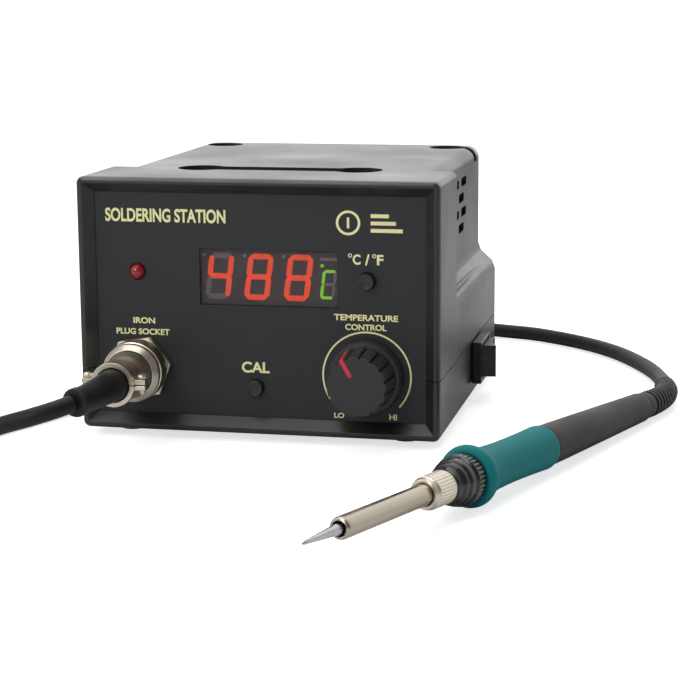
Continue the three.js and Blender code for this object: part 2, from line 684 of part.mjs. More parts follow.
function makeSwitch() {
  const [y, height] = switchAt;
  const z = base + height;
  const skin = half + gap;
  let body = boxSolid(skin, skin + switchProud, y - 10.5, y + 10.5, z - 7.4, z + 7.2)
    .add(boxSolid(half - 18, skin + 1, y - 9.6, y + 9.6, z - 6.6, z + 6.6));
  body = body.subtract(boxSolid(half - 5.6, skin + switchProud + 1, y - 8.7, y + 8.7, z - 5.8, z + 5.8));
  body = body.subtract(rodZ(1.08, half - 1.5, y, z - 6.4, z + 6.4, 16));
  place('switch_body', shape(body), blackPlastic);
  const rockerGroup = new THREE.Group();
  rockerGroup.position.set(half - 1.5, y, z);
  rockerGroup.rotation.z = 9 * degree;
  part.add(rockerGroup);
  const outline = new THREE.Shape();
  outline.moveTo(-3, -4);
  outline.lineTo(0, -7.4);
  outline.lineTo(8.4, -7.4);
  outline.lineTo(7, 0);
  outline.lineTo(8.4, 7.4);
  outline.lineTo(0, 7.4);
  outline.lineTo(-3, 4);
  const slab = new THREE.ExtrudeGeometry(outline, { depth: 11, bevelEnabled: false }).translate(0, 0, -5.5);
  const rocker = solid(slab).add(rodZ(1, 0, 0, -6.2, 6.2, 16));
  place('power_rocker', shape(rocker), blackPlastic, rockerGroup);
}

// ---- the iron ----
const pipeFront = -69;
const nutFront = -26.2;
const nutRear = -15.3;
const gripEnd = 45;
const handleEnd = 119;
const reliefLength = 41;

function makeIron() {
  const iron = new THREE.Group();
  iron.position.copy(ironFlange);
  iron.quaternion.setFromUnitVectors(new THREE.Vector3(0, 1, 0), ironHeading);
  part.add(iron);
  const add = (name, geometry, material) => place(name, geometry, material, iron);

  add('iron_tip', turned([[0, -85.7], [0.35, -85.5], [0.5, -84.8], [1.55, pipeFront - 1.4],
    [1.55, pipeFront + 1.5], [2.5, pipeFront + 1.5], [2.5, -45], [2, -45], [2, pipeFront + 6],
    [0, pipeFront + 6]], 18), tinned);
  add('heater', turned([[0, pipeFront + 6.5], [1.7, pipeFront + 6.5], [1.7, 12], [0, 12]], 12), ceramic);
  add('iron_pipe', turned([[1.85, pipeFront], [2.8, pipeFront], [3.05, pipeFront + 0.5], [3.05, -21],
    [2.75, -21], [2.75, pipeFront + 1], [1.85, pipeFront + 1], [1.85, pipeFront]], 20), nickel);
  add('iron_nut', turned([[3.2, nutFront], [3.9, nutFront], [4.3, nutFront + 0.4], [4.3, nutFront + 1.6],
    [4.8, nutFront + 2.2], [4.8, nutRear - 0.4], [4.5, nutRear], [3.2, nutRear],
    [3.2, nutFront]], 24), nickel);
  add('iron_collar', turned([[2.2, nutRear + gap], [5, nutRear + gap], [5.3, -13], [5.9, -12.4], [6.1, -10.5],
    [6.6, -9.8], [6.9, -7.6], [7.3, -7], [7.3, -2.9], [3, -2.9], [3, -6], [2.2, -7], [2.2, nutRear + gap]],
  18), blackPlastic);
  add('grip', turned([[5, -2.5], [7.8, -2.5], [8.7, -1.9], [9, -0.6], [8.8, 1], [7.9, 2.4], [7.1, 5],
    [6.7, 9], [6.4, 18], [6.4, 28], [6.6, 38], [6.8, gripEnd - 1.2], [6.6, gripEnd], [5, gripEnd],
    [5, -2.5]], 20), tealRubber);
  add('handle_tube', turned([[3.6, -2.2], [4.7, -2.2], [4.7, gripEnd + gap], [6.3, gripEnd + gap],
    [6.2, gripEnd + 8], [4.9, handleEnd - 1], [4.6, handleEnd], [3.6, handleEnd], [3.6, -2.2]], 24),
  handlePlastic);
}

function ironPoint(along) {
  return ironFlange.clone().addScaledVector(ironHeading, along);
}

// the strain relief carries on from the handle, then its end turns with the cord round the case
function reliefRoute() {
  const start = ironPoint(handleEnd - 8);
  const mouth = ironPoint(handleEnd + 13);
  return route([start.toArray(), ironPoint(handleEnd).toArray(), mouth.toArray(),
    [mouth.x + 2.6, mouth.y + 10, 4.6], [mouth.x + 3, mouth.y + 20, 4.3],
    [mouth.x + 1.7, mouth.y + 30, 4]]);
}

function makeStrainRelief() {
  const profile = [[0, 0], [3.3, 0], [3.3, 8.4], [4.4, 8.4], [4.4, 14], [4.2, 20], [4, 26], [3.7, 32],
    [3.4, reliefLength + 3], [3.1, reliefLength + 8], [0, reliefLength + 8]];
  place('strain_relief', bentAlong(profile, reliefRoute(), 12), rubber);
}

// ---- the cord ----
function cordTube(name, points, steps) {
  const section = new THREE.Shape();
  section.absarc(0, 0, cordRadius, 0, Math.PI * 2);
  place(name, new THREE.ExtrudeGeometry(section, {
    extrudePath: route(points), steps, curveSegments: 4, bevelEnabled: false,
  }), rubber);
}

const floorCord = cordRadius + 0.15; // the cord's height where it lies on the surface

function makeCord() {
  const [cx, cy] = coilAt;
  const touch = coilMean + coilWide;
  const f = floorCord;
  cordTube('cord_plug_side', [[bootEnd.x - 0.5, bootEnd.y - 1.1, bootEnd.z], [-47.5, -56, 21.2],
    [-54.5, -59, 19.2], [-63.5, -59, 16.4], [-75, -56, 11.5], [-86, -48.5, 6.5], [-92, -36, 3.6],
    [-91, -20, f], [-86.5, -6, f], [-81, 8, f], [-75.7, 23, f], [-70.5, 40, f], [-66.5, 60, f],
    [-65.5, 90, f], [-65, 116, f], [-62.5, 131, f], [-55.5, 146, f],
    [cx - touch - cordRadius - 0.5, cy - 8, f]], 30);
  const ring = new THREE.LatheGeometry([
    new THREE.Vector2(coilMean - coilWide, 1.6), new THREE.Vector2(coilMean - coilWide + 1, 0.8),
    new THREE.Vector2(touch - 1, 0.8), new THREE.Vector2(touch, 1.6),
    new THREE.Vector2(touch - 2, coilTall), new THREE.Vector2(coilMean - coilWide + 2, coilTall),
    new THREE.Vector2(coilMean - coilWide, 1.6),
  ], 28);
  place('cord_coil', shape(solid(ring.rotateX(90 * degree).translate(cx, cy, 0))), rubber);
  const end = reliefRoute().getPointAt(1);
  cordTube('cord_iron_side', [[cx + 6, cy + touch + cordRadius + 0.5, f], [14, 209.5, f],
    [29, 203, f], [42, 195.5, f], [55, 190.5, f], [69.5, 185, f], [89, 170, f], [104, 151.5, f],
    [116.5, 126, f], [122.6, 105, f + 0.1], [end.x - 0.1, end.y + 0.4, end.z]], 20);
  const [inner, outer] = [coilWide + gap, coilWide + 1.2];
  const tieX = cx + coilMean;
  const tie = boxSolid(tieX - outer, tieX + outer, cy - 2, cy + 2, 0, coilTall + 1.2)
    .subtract(boxSolid(tieX - inner, tieX + inner, cy - 3, cy + 3, 0.5, coilTall + gap));
  place('cord_tie', shape(tie), rubber);
}

makeCase();
makeFrontPanel();
makeControls();
makeButton('unit', unitButtonAt, 2.6);
makeButton('calibration', calButtonAt, 2.2);
makeKnob();
makeSocket();
makePlug();
makeTransformer();
makeMainBoard();
makeRearPanel();
makeInlet();
makeSwitch();
makeIron();
makeStrainRelief();
makeCord();

// the origin is the middle of the footprint of the station and its iron, on the surface they stand on
const cordPieces = ['cord_plug_side', 'cord_coil', 'cord_iron_side', 'cord_tie', 'plug_shell',
  'coupling_ring', 'cable_clamp_upper', 'cable_clamp_lower', 'clamp_screw_left', 'clamp_screw_right',
  'plug_boot'];
const footprint = new THREE.Box3();
part.updateMatrixWorld(true);
part.traverse((mesh) => {
  if (mesh.isMesh && !cordPieces.includes(mesh.name)) footprint.expandByObject(mesh, true);
});
const middle = footprint.getCenter(new THREE.Vector3());
part.position.set(-middle.x, -middle.y, -footprint.min.z);

export default part;
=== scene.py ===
import json
import math

import bpy
from mathutils import Matrix, Vector


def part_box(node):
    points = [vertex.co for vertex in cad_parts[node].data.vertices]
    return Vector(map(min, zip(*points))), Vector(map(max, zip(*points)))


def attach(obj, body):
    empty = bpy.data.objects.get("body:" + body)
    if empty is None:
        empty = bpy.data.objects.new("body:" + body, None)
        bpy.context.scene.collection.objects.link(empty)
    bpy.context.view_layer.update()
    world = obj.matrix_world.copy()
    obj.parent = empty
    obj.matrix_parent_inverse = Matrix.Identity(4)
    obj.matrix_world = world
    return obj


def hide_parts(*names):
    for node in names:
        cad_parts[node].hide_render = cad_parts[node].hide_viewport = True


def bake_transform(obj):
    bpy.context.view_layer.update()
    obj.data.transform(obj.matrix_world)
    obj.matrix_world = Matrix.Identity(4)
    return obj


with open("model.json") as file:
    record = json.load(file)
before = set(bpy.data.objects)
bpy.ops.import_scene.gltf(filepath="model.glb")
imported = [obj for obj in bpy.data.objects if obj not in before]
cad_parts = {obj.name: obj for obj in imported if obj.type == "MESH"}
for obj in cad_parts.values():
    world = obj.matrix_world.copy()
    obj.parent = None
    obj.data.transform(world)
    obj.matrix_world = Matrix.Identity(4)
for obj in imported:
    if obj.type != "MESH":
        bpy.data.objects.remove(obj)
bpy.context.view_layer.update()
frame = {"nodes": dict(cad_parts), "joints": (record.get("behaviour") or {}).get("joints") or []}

nodes = frame["nodes"]
joints = {joint["name"]: joint for joint in frame["joints"]}
millimetre = 0.001

# the middle of the station's front rim, at the surface that it stands on
shellLow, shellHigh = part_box("upper_shell")
frontMiddle = Vector(((shellLow.x + shellHigh.x) / 2, shellLow.y, 0))
deskBase = 2.5  # the case's underside over the surface


def spot(x, y, z):
    return frontMiddle + Vector((x, y, z)) * millimetre


def pick(piece):
    bpy.ops.object.select_all(action="DESELECT")
    piece.select_set(True)
    bpy.context.view_layer.objects.active = piece


def openMesh(piece):
    pick(piece)
    bpy.ops.object.mode_set(mode="EDIT")
    bpy.ops.mesh.select_all(action="DESELECT")


def closeMesh():
    bpy.ops.object.mode_set(mode="OBJECT")


# leaves nothing in a mesh chosen, before its vertices or faces are chosen one by one
def clearChoice(piece):
    openMesh(piece)
    closeMesh()


def applyPlace(piece):
    pick(piece)
    bpy.ops.object.transform_apply(location=True, rotation=True, scale=True)


def layAlong(piece, place, direction):
    turn = Vector((0, 0, 1)).rotation_difference(Vector(direction))
    piece.matrix_world = Matrix.Translation(place) @ turn.to_matrix().to_4x4()
    applyPlace(piece)


def addBevel(piece, width, segments=2, angle=40):
    pick(piece)
    bevel = piece.modifiers.new("edgeRound", "BEVEL")
    bevel.width = width * millimetre
    bevel.segments = segments
    bevel.limit_method = "ANGLE"
    bevel.angle_limit = math.radians(angle)
    bpy.ops.object.modifier_apply(modifier=bevel.name)


def cutWith(piece, cutter):
    pick(piece)
    cut = piece.modifiers.new("cut", "BOOLEAN")
    cut.operation = "DIFFERENCE"
    cut.object = cutter
    cut.solver = "EXACT"
    bpy.ops.object.modifier_apply(modifier=cut.name)
    bpy.data.objects.remove(cutter)


def joinPieces(name, pieces):
    bpy.ops.object.select_all(action="DESELECT")
    for piece in pieces:
        piece.select_set(True)
    bpy.context.view_layer.objects.active = pieces[0]
    if len(pieces) > 1:
        bpy.ops.object.join()
    pieces[0].name = name
    return pieces[0]


def copyPiece(piece, name):
    twin = piece.copy()
    twin.data = piece.data.copy()
    twin.name = name
    bpy.context.scene.collection.objects.link(twin)
    return twin


def finishPiece(piece, body, material, replaced=(), smoothAngle=35):
    pick(piece)
    bpy.ops.object.shade_smooth_by_angle(angle=math.radians(smoothAngle))
    # flat faces shade flat up to their rounded edges
    weigh = piece.modifiers.new("faceWeight", "WEIGHTED_NORMAL")
    weigh.keep_sharp = True
    bpy.ops.object.modifier_apply(modifier=weigh.name)
    piece.data.materials.clear()
    piece.data.materials.append(material)
    if replaced:
        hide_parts(*replaced)
    if body:
        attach(piece, body)
    return piece


# a ring of edges drawn out along Z, one step of the profile at a time: (radius, place) in mm
def turnPiece(name, profile, sides=64):
    pinch = 0.002
    radius, place = profile[0]
    bpy.ops.object.select_all(action="DESELECT")
    bpy.ops.mesh.primitive_circle_add(
        vertices=sides, radius=max(radius, pinch) * millimetre, location=(0, 0, place * millimetre)
    )
    piece = bpy.context.object
    piece.name = name
    applyPlace(piece)
    bpy.ops.object.mode_set(mode="EDIT")
    bpy.ops.mesh.select_all(action="SELECT")
    for (oldRadius, oldPlace), (newRadius, newPlace) in zip(profile, profile[1:]):
        step = (newPlace - oldPlace) * millimetre
        grow = max(newRadius, pinch) / max(oldRadius, pinch)
        bpy.ops.mesh.extrude_region_move(TRANSFORM_OT_translate={"value": (0, 0, step)})
        bpy.ops.transform.resize(value=(grow, grow, 1), center_override=(0, 0, newPlace * millimetre))
    bpy.ops.mesh.select_all(action="SELECT")
    bpy.ops.mesh.remove_doubles(threshold=0.008 * millimetre)
    bpy.ops.mesh.normals_make_consistent(inside=False)
    closeMesh()
    return piece


# pushes chosen columns of a turned piece inwards: flutes, knurls and ribs
def dentColumns(piece, dents, chosen):
    clearChoice(piece)
    sides = dents["sides"]
    reach = 0
    for vertex in piece.data.vertices:
        radius = math.hypot(vertex.co.x, vertex.co.y)
        column = round(math.atan2(vertex.co.y, vertex.co.x) / (2 * math.pi) * sides) % sides
        inside = dents["from"] * millimetre <= vertex.co.z <= dents["to"] * millimetre
        row = round(vertex.co.z / millimetre * 10)
        vertex.select = inside and radius > dents["beyond"] * millimetre and chosen(column, row)
        if vertex.select:
            reach = max(reach, radius)
    bpy.ops.object.mode_set(mode="EDIT")
    shrink = 1 - dents["depth"] * millimetre / reach
    bpy.ops.transform.resize(value=(shrink, shrink, 1), center_override=(0, 0, 0))
    closeMesh()


# a CAD node's own shape, merged, with its sharp edges rounded
def refineNode(node, name, body, material, bevel=0.25, smoothAngle=35):
    piece = copyPiece(nodes[node], name)
    for key in list(piece.keys()):
        del piece[key]
    piece.parent = None
    openMesh(piece)
    bpy.ops.mesh.select_all(action="SELECT")
    bpy.ops.mesh.remove_doubles(threshold=0.002 * millimetre)
    bpy.ops.mesh.dissolve_limited(angle_limit=math.radians(1))
    closeMesh()
    if bevel:
        addBevel(piece, bevel)
    return finishPiece(piece, body, material, [node], smoothAngle)


# a smooth line through given points, each with any number of values
def smoothRoute(points, steps):
    line = []
    for n in range(len(points) - 1):
        before, here = points[max(n - 1, 0)], points[n]
        there, after = points[n + 1], points[min(n + 2, len(points) - 1)]
        for step in range(steps):
            t = step / steps
            line.append([
                0.5 * (2 * b + (c - a) * t + (2 * a - 5 * b + 4 * c - d) * t * t
                       + (3 * b - a - 3 * c + d) * t ** 3)
                for a, b, c, d in zip(before, here, there, after)
            ])
    line.append(list(points[-1]))
    return line


# a round tube along a line of [x, y, z, radius] in mm
def tubeAlong(name, line, fineness):
    curve = bpy.data.curves.new(name, "CURVE")
    curve.dimensions = "3D"
    curve.bevel_depth = millimetre
    curve.bevel_resolution = fineness
    curve.use_fill_caps = True
    spline = curve.splines.new("POLY")
    spline.points.add(len(line) - 1)
    for point, (x, y, z, radius) in zip(spline.points, line):
        point.co = (*spot(x, y, z), 1)
        point.radius = radius
    piece = bpy.data.objects.new(name, curve)
    bpy.context.scene.collection.objects.link(piece)
    pick(piece)
    bpy.ops.object.convert(target="MESH")
    openMesh(piece)
    bpy.ops.mesh.select_all(action="SELECT")
    bpy.ops.mesh.remove_doubles(threshold=0.001 * millimetre)
    bpy.ops.mesh.normals_make_consistent(inside=False)
    closeMesh()
    return piece


def addBox(name, low, high, bevel=0.0):
    centre = (Vector(low) + Vector(high)) / 2
    size = Vector(high) - Vector(low)
    bpy.ops.object.select_all(action="DESELECT")
    bpy.ops.mesh.primitive_cube_add(size=1, location=centre)
    piece = bpy.context.object
    piece.name = name
    piece.scale = size
    applyPlace(piece)
    if bevel:
        addBevel(piece, bevel)
    return piece


studio = {
    "eye": (154.0, -578.5, 148.6), "forward": (-0.21025, 0.95913, -0.18937), "tilt": -0.384,
    "lens": 101.6, "floorSize": 40, "floorColor": (0.8, 0.8, 0.8, 1), "floorLift": 0.7,
    "backGlow": 1.4, "frontGlow": 0.17, "keyPower": 7, "sidePower": 2.5, "frontPower": 3.5,
}


def makeCamera():
    data = bpy.data.cameras.new("studioCamera")
    data.lens = studio["lens"]
    data.sensor_width = 36
    data.clip_start = 0.01
    data.clip_end = 100
    camera = bpy.data.objects.new("studioCamera", data)
    bpy.context.scene.collection.objects.link(camera)
    look = Vector(studio["forward"]).to_track_quat("-Z", "Y").to_matrix().to_4x4()
    roll = Matrix.Rotation(math.radians(studio["tilt"]), 4, "Z")
    camera.matrix_world = Matrix.Translation(spot(*studio["eye"])) @ look @ roll
    bpy.context.scene.camera = camera


def addSoftbox(name, place, target, size, power):
    data = bpy.data.lights.new(name, "AREA")
    data.shape = "RECTANGLE"
    data.size, data.size_y = size
    data.energy = power
    light = bpy.data.objects.new(name, data)
    bpy.context.scene.collection.objects.link(light)
    aim = (spot(*target) - spot(*place)).to_track_quat("-Z", "Y").to_matrix().to_4x4()
    light.matrix_world = Matrix.Translation(spot(*place)) @ aim


# white behind the object, dimmer in front of it, as in a light tent
def makeSurround():
    world = bpy.data.worlds.new("lightTent")
    bpy.context.scene.world = world
    world.use_nodes = True
    tree = world.node_tree
    glow = tree.nodes["Background"]
    coords = tree.nodes.new("ShaderNodeTexCoord")
    split = tree.nodes.new("ShaderNodeSeparateXYZ")
    blend = tree.nodes.new("ShaderNodeMapRange")
    blend.interpolation_type = "SMOOTHSTEP"
    blend.inputs["From Min"].default_value = 0.1
    blend.inputs["From Max"].default_value = 0.95
    blend.inputs["To Min"].default_value = studio["frontGlow"]
    blend.inputs["To Max"].default_value = studio["backGlow"]
    tree.links.new(coords.outputs["Generated"], split.inputs[0])
    tree.links.new(split.outputs["Y"], blend.inputs["Value"])
    tree.links.new(blend.outputs["Result"], glow.inputs["Strength"])
    glow.inputs["Color"].default_value = (1, 1, 1, 1)


def makeFloor():
    bpy.ops.object.select_all(action="DESELECT")
    bpy.ops.mesh.primitive_plane_add(size=studio["floorSize"], location=(0, 0, -0.0002))
    floor = bpy.context.object
    floor.name = "studioFloor"
    paper = bpy.data.materials.new("paleFloor")
    paper.use_nodes = True
    shader = paper.node_tree.nodes["Principled BSDF"]
    shader.inputs["Base Color"].default_value = studio["floorColor"]
    shader.inputs["Roughness"].default_value = 0.9
    shader.inputs["Specular IOR Level"].default_value = 0.1
    # the paper itself looks white, and still throws little light back at the object
    rays = paper.node_tree.nodes.new("ShaderNodeLightPath")
    lift = paper.node_tree.nodes.new("ShaderNodeMath")
    lift.operation = "MULTIPLY"
    lift.inputs[1].default_value = studio["floorLift"]
    paper.node_tree.links.new(rays.outputs["Is Camera Ray"], lift.inputs[0])
    paper.node_tree.links.new(lift.outputs[0], shader.inputs["Emission Strength"])
    shader.inputs["Emission Color"].default_value = (1, 1, 1, 1)
    floor.data.materials.append(paper)


bpy.context.scene.view_settings.view_transform = "Standard"
makeCamera()
makeSurround()
addSoftbox("overheadBox", (-150, 120, 1100), (0, 60, 0), (1.1, 1.1), studio["keyPower"])
addSoftbox("leftBox", (-900, -300, 500), (0, 0, 40), (0.7, 0.9), studio["sidePower"])
addSoftbox("frontBox", (-350, -900, 620), (0, 0, 30), (0.45, 0.45), studio["frontPower"])
makeFloor()
print("stage: camera, light and floor")


# fine grain and a slow mottle over a surface, from its own coordinates
def makeGrain():
    group = bpy.data.node_groups.new("surfaceGrain", "ShaderNodeTree")
    face = group.interface
    for label in ("Grain Scale", "Mottle Scale", "Stretch"):
        face.new_socket(label, in_out="INPUT", socket_type="NodeSocketFloat")
    for label in ("Height", "Mottle"):
        face.new_socket(label, in_out="OUTPUT", socket_type="NodeSocketFloat")
    inside = group.nodes.new("NodeGroupInput")
    outside = group.nodes.new("NodeGroupOutput")
    coords = group.nodes.new("ShaderNodeTexCoord")
    stretch = group.nodes.new("ShaderNodeCombineXYZ")
    scaled = group.nodes.new("ShaderNodeVectorMath")
    scaled.operation = "MULTIPLY"
    stretch.inputs["X"].default_value = 1
    stretch.inputs["Z"].default_value = 1
    group.links.new(inside.outputs["Stretch"], stretch.inputs["Y"])
    group.links.new(coords.outputs["Object"], scaled.inputs[0])
    group.links.new(stretch.outputs[0], scaled.inputs[1])
    for source, target, detail in (("Grain Scale", "Height", 3), ("Mottle Scale", "Mottle", 5)):
        noise = group.nodes.new("ShaderNodeTexNoise")
        noise.inputs["Detail"].default_value = detail
        group.links.new(scaled.outputs[0], noise.inputs["Vector"])
        group.links.new(inside.outputs[source], noise.inputs["Scale"])
        group.links.new(noise.outputs["Fac"], outside.inputs[target])
    return group


grainGroup = makeGrain()


# a finish starts from its colour, gloss and grain; what is special to it is set by its caller
def makeFinish(name, color, roughness, metallic=0.0, grain=2500, bump=0.1, mottle=60,
               shade=0.8, spread=0.08, stretch=1.0, coat=0.0, specular=0.5):
    material = bpy.data.materials.new(name)
    material.use_nodes = True
    tree = material.node_tree
    shader = tree.nodes["Principled BSDF"]
    effect = tree.nodes.new("ShaderNodeGroup")
    effect.node_tree = grainGroup
    effect.inputs["Grain Scale"].default_value = grain
    effect.inputs["Mottle Scale"].default_value = mottle
    effect.inputs["Stretch"].default_value = stretch
    tint = tree.nodes.new("ShaderNodeMix")
    tint.data_type = "RGBA"
    tint.inputs[6].default_value = (*[c * shade for c in color], 1)
    tint.inputs[7].default_value = (*[min(c * (2 - shade), 1) for c in color], 1)
    gloss = tree.nodes.new("ShaderNodeMapRange")
    gloss.inputs["From Min"].default_value = 0.3
    gloss.inputs["From Max"].default_value = 0.7
    gloss.inputs["To Min"].default_value = max(roughness - spread, 0.02)
    gloss.inputs["To Max"].default_value = min(roughness + spread, 1)
    relief = tree.nodes.new("ShaderNodeBump")
    relief.inputs["Strength"].default_value = bump
    relief.inputs["Distance"].default_value = 0.05 * millimetre
    tree.links.new(effect.outputs["Mottle"], tint.inputs[0])
    tree.links.new(tint.outputs[2], shader.inputs["Base Color"])
    tree.links.new(effect.outputs["Mottle"], gloss.inputs["Value"])
    tree.links.new(gloss.outputs["Result"], shader.inputs["Roughness"])
    tree.links.new(effect.outputs["Height"], relief.inputs["Height"])
    tree.links.new(relief.outputs["Normal"], shader.inputs["Normal"])
    shader.inputs["Metallic"].default_value = metallic
    shader.inputs["Coat Weight"].default_value = coat
    shader.inputs["Specular IOR Level"].default_value = specular
    return material


def shaderOf(material):
    return material.node_tree.nodes["Principled BSDF"]


# bands across a piece: the edges of stacked laminations, or the turns of a winding
def addBands(material, scale, axis, color, bump):
    tree = material.node_tree
    coords = tree.nodes.new("ShaderNodeTexCoord")
    wave = tree.nodes.new("ShaderNodeTexWave")
    wave.bands_direction = axis
    wave.inputs["Scale"].default_value = scale
    tint = tree.nodes.new("ShaderNodeMix")
    tint.data_type = "RGBA"
    relief = tree.nodes.new("ShaderNodeBump")
    relief.inputs["Strength"].default_value = bump
    relief.inputs["Distance"].default_value = 0.2 * millimetre
    tint.inputs[7].default_value = (*color, 1)
    shader = shaderOf(material)
    plain = shader.inputs["Base Color"].links[0].from_socket
    tree.links.new(coords.outputs["Object"], wave.inputs["Vector"])
    tree.links.new(wave.outputs["Fac"], tint.inputs[0])
    tree.links.new(plain, tint.inputs[6])
    tree.links.new(tint.outputs[2], shader.inputs["Base Color"])
    tree.links.new(wave.outputs["Fac"], relief.inputs["Height"])
    tree.links.new(relief.outputs["Normal"], shader.inputs["Normal"])


shellPlastic = makeFinish("mouldedShell", (0.018, 0.0173, 0.0165), 0.33, grain=2600, bump=0.18,
    mottle=22, specular=0.6)
panelFilm = makeFinish("panelFilm", (0.026, 0.027, 0.031), 0.52, grain=4200, bump=0.25, mottle=30,
    specular=0.35)
windowPlastic = makeFinish("smokedWindow", (0.05, 0.04, 0.045), 0.06, grain=300, bump=0.01, mottle=40,
    spread=0.02)
shaderOf(windowPlastic).inputs["Alpha"].default_value = 0.3
displayFace = makeFinish("displayFace", (0.15, 0.115, 0.12), 0.5, grain=1500, bump=0.05, mottle=120)
unlitSegment = makeFinish("unlitSegment", (0.48, 0.38, 0.38), 0.45, grain=1800, bump=0.04, mottle=200)
litSegment = makeFinish("litSegment", (0.75, 0.05, 0.02), 0.4, grain=1800, bump=0.04, mottle=300)
unitSegment = makeFinish("unitSegment", (0.2, 0.62, 0.03), 0.4, grain=1800, bump=0.04, mottle=300)
ledLens = makeFinish("ledLens", (0.3, 0.004, 0.008), 0.1, grain=400, bump=0.02, mottle=300, coat=0.5)
panelInk = makeFinish("panelInk", (0.95, 0.89, 0.46), 0.5, grain=3500, bump=0.08, mottle=400, shade=0.9)
knobPlastic = makeFinish("knobPlastic", (0.026, 0.025, 0.027), 0.5, grain=3400, bump=0.3, mottle=150)
pointerPaint = makeFinish("pointerPaint", (0.68, 0.03, 0.045), 0.4, grain=2500, bump=0.1, mottle=300)
buttonPlastic = makeFinish("buttonPlastic", (0.02, 0.02, 0.022), 0.4, grain=3000, bump=0.2, mottle=200)
footRubber = makeFinish("footRubber", (0.015, 0.015, 0.015), 0.75, grain=2000, bump=0.4, mottle=200)
blackScrew = makeFinish("blackScrew", (0.09, 0.085, 0.08), 0.3, 1.0, grain=1800, bump=0.1, mottle=300)
nickel = makeFinish("brightNickel", (0.74, 0.67, 0.56), 0.34, 1.0, grain=900, bump=0.04, mottle=140,
    spread=0.06)
pipeNickel = makeFinish("pipeNickel", (0.46, 0.41, 0.33), 0.27, 1.0, grain=1400, bump=0.06, mottle=50,
    spread=0.07)
tinnedTip = makeFinish("tinnedTip", (0.55, 0.55, 0.57), 0.22, 1.0, grain=1700, bump=0.15, mottle=260,
    shade=0.7)
plainSteel = makeFinish("zincSteel", (0.5, 0.5, 0.49), 0.4, 1.0, grain=1200, bump=0.12, mottle=80)
bareAluminium = makeFinish("bareAluminium", (0.62, 0.62, 0.64), 0.35, 1.0, grain=800, bump=0.12,
    mottle=90, stretch=0.1)
bakelite = makeFinish("bakelite", (0.12, 0.035, 0.012), 0.32, grain=900, bump=0.08, mottle=220)
bootRubber = makeFinish("bootRubber", (0.012, 0.012, 0.013), 0.5, grain=2200, bump=0.25, mottle=90,
    specular=0.3)
cordRubber = makeFinish("cordJacket", (0.012, 0.012, 0.013), 0.5, grain=1900, bump=0.25, mottle=70,
    specular=0.25)
inletPlastic = makeFinish("inletPlastic", (0.016, 0.016, 0.017), 0.3, grain=2600, bump=0.1, mottle=120)
collarPlastic = makeFinish("collarPlastic", (0.012, 0.012, 0.013), 0.2, grain=2000, bump=0.08,
    mottle=120, coat=0.3)
gripRubber = makeFinish("gripSilicone", (0.004, 0.2, 0.215), 0.6, grain=1900, bump=0.35, mottle=45,
    shade=0.88, specular=0.2)
handlePlastic = makeFinish("handlePlastic", (0.03, 0.026, 0.024), 0.55, grain=2600, bump=0.2, mottle=60,
    specular=0.25)
boardGreen = makeFinish("circuitBoard", (0.02, 0.13, 0.045), 0.35, grain=700, bump=0.1, mottle=180)
ceramic = makeFinish("ceramic", (0.8, 0.77, 0.7), 0.55, grain=1700, bump=0.2, mottle=160)
capacitorSleeve = makeFinish("capacitorSleeve", (0.02, 0.045, 0.18), 0.3, grain=900, bump=0.05, mottle=90)
laminatedSteel = makeFinish("laminatedSteel", (0.2, 0.2, 0.2), 0.5, 0.8, grain=1200, bump=0.1, mottle=90)
copperWire = makeFinish("copperWire", (0.55, 0.2, 0.08), 0.35, 0.9, grain=1200, bump=0.1, mottle=90)
addBands(laminatedSteel, 320, "Y", (0.06, 0.06, 0.06), 0.4)
addBands(copperWire, 260, "Z", (0.25, 0.08, 0.03), 0.6)
glowing = ((litSegment, (1.0, 0.085, 0.018), 1.0), (unitSegment, (0.32, 0.9, 0.03), 0.8))
for material, color, strength in glowing:
    shaderOf(material).inputs["Emission Color"].default_value = (*color, 1)
    shaderOf(material).inputs["Emission Strength"].default_value = strength
print("stage: finishes")


cordSize = {
    "radius": 2.75, "coilAt": (-8, 171), "outerLane": 34.3, "climb": 0.65, "outer": 28.5,
    "turns": 4.25, "bottomTurns": 2.7, "evenFrom": 0.25, "entrySlope": 24, "climbFrom": 2.35,
    "topSpread": 16.5, "laneStep": 5.6, "length": 1.2, "stepsPerTurn": 24,
    "liftFrom": (60, 150, 3), "liftTo": (119, 150, 3),
}
cordLow = cordSize["radius"] + 0.15
plugStretch = [
    (-44, -51.1, 22.1), (-47.5, -56, 21.2), (-54.5, -59, 19.2), (-63.5, -59, 16.4), (-75, -56, 11.5),
    (-86, -48.5, 6.5), (-92, -36, 3.6), (-91, -20, cordLow), (-86.5, -6, cordLow), (-81, 8, cordLow),
    (-75.7, 23, cordLow), (-70.5, 40, cordLow), (-66.5, 60, cordLow), (-65.5, 90, cordLow),
    (-65, 116, cordLow), (-62.5, 131, cordLow), (-55.5, 146, cordLow), (-49.5, 158, cordLow),
]
ironStretch = [
    (6, 210.4, 6.0), (16, 208.5, 3.8), (29, 203, cordLow), (42, 195.5, cordLow), (55, 190.5, cordLow),
    (69.5, 185, cordLow), (89, 170, cordLow), (104, 151.5, cordLow), (116.5, 126, cordLow),
    (122.6, 105, 3.0),
]


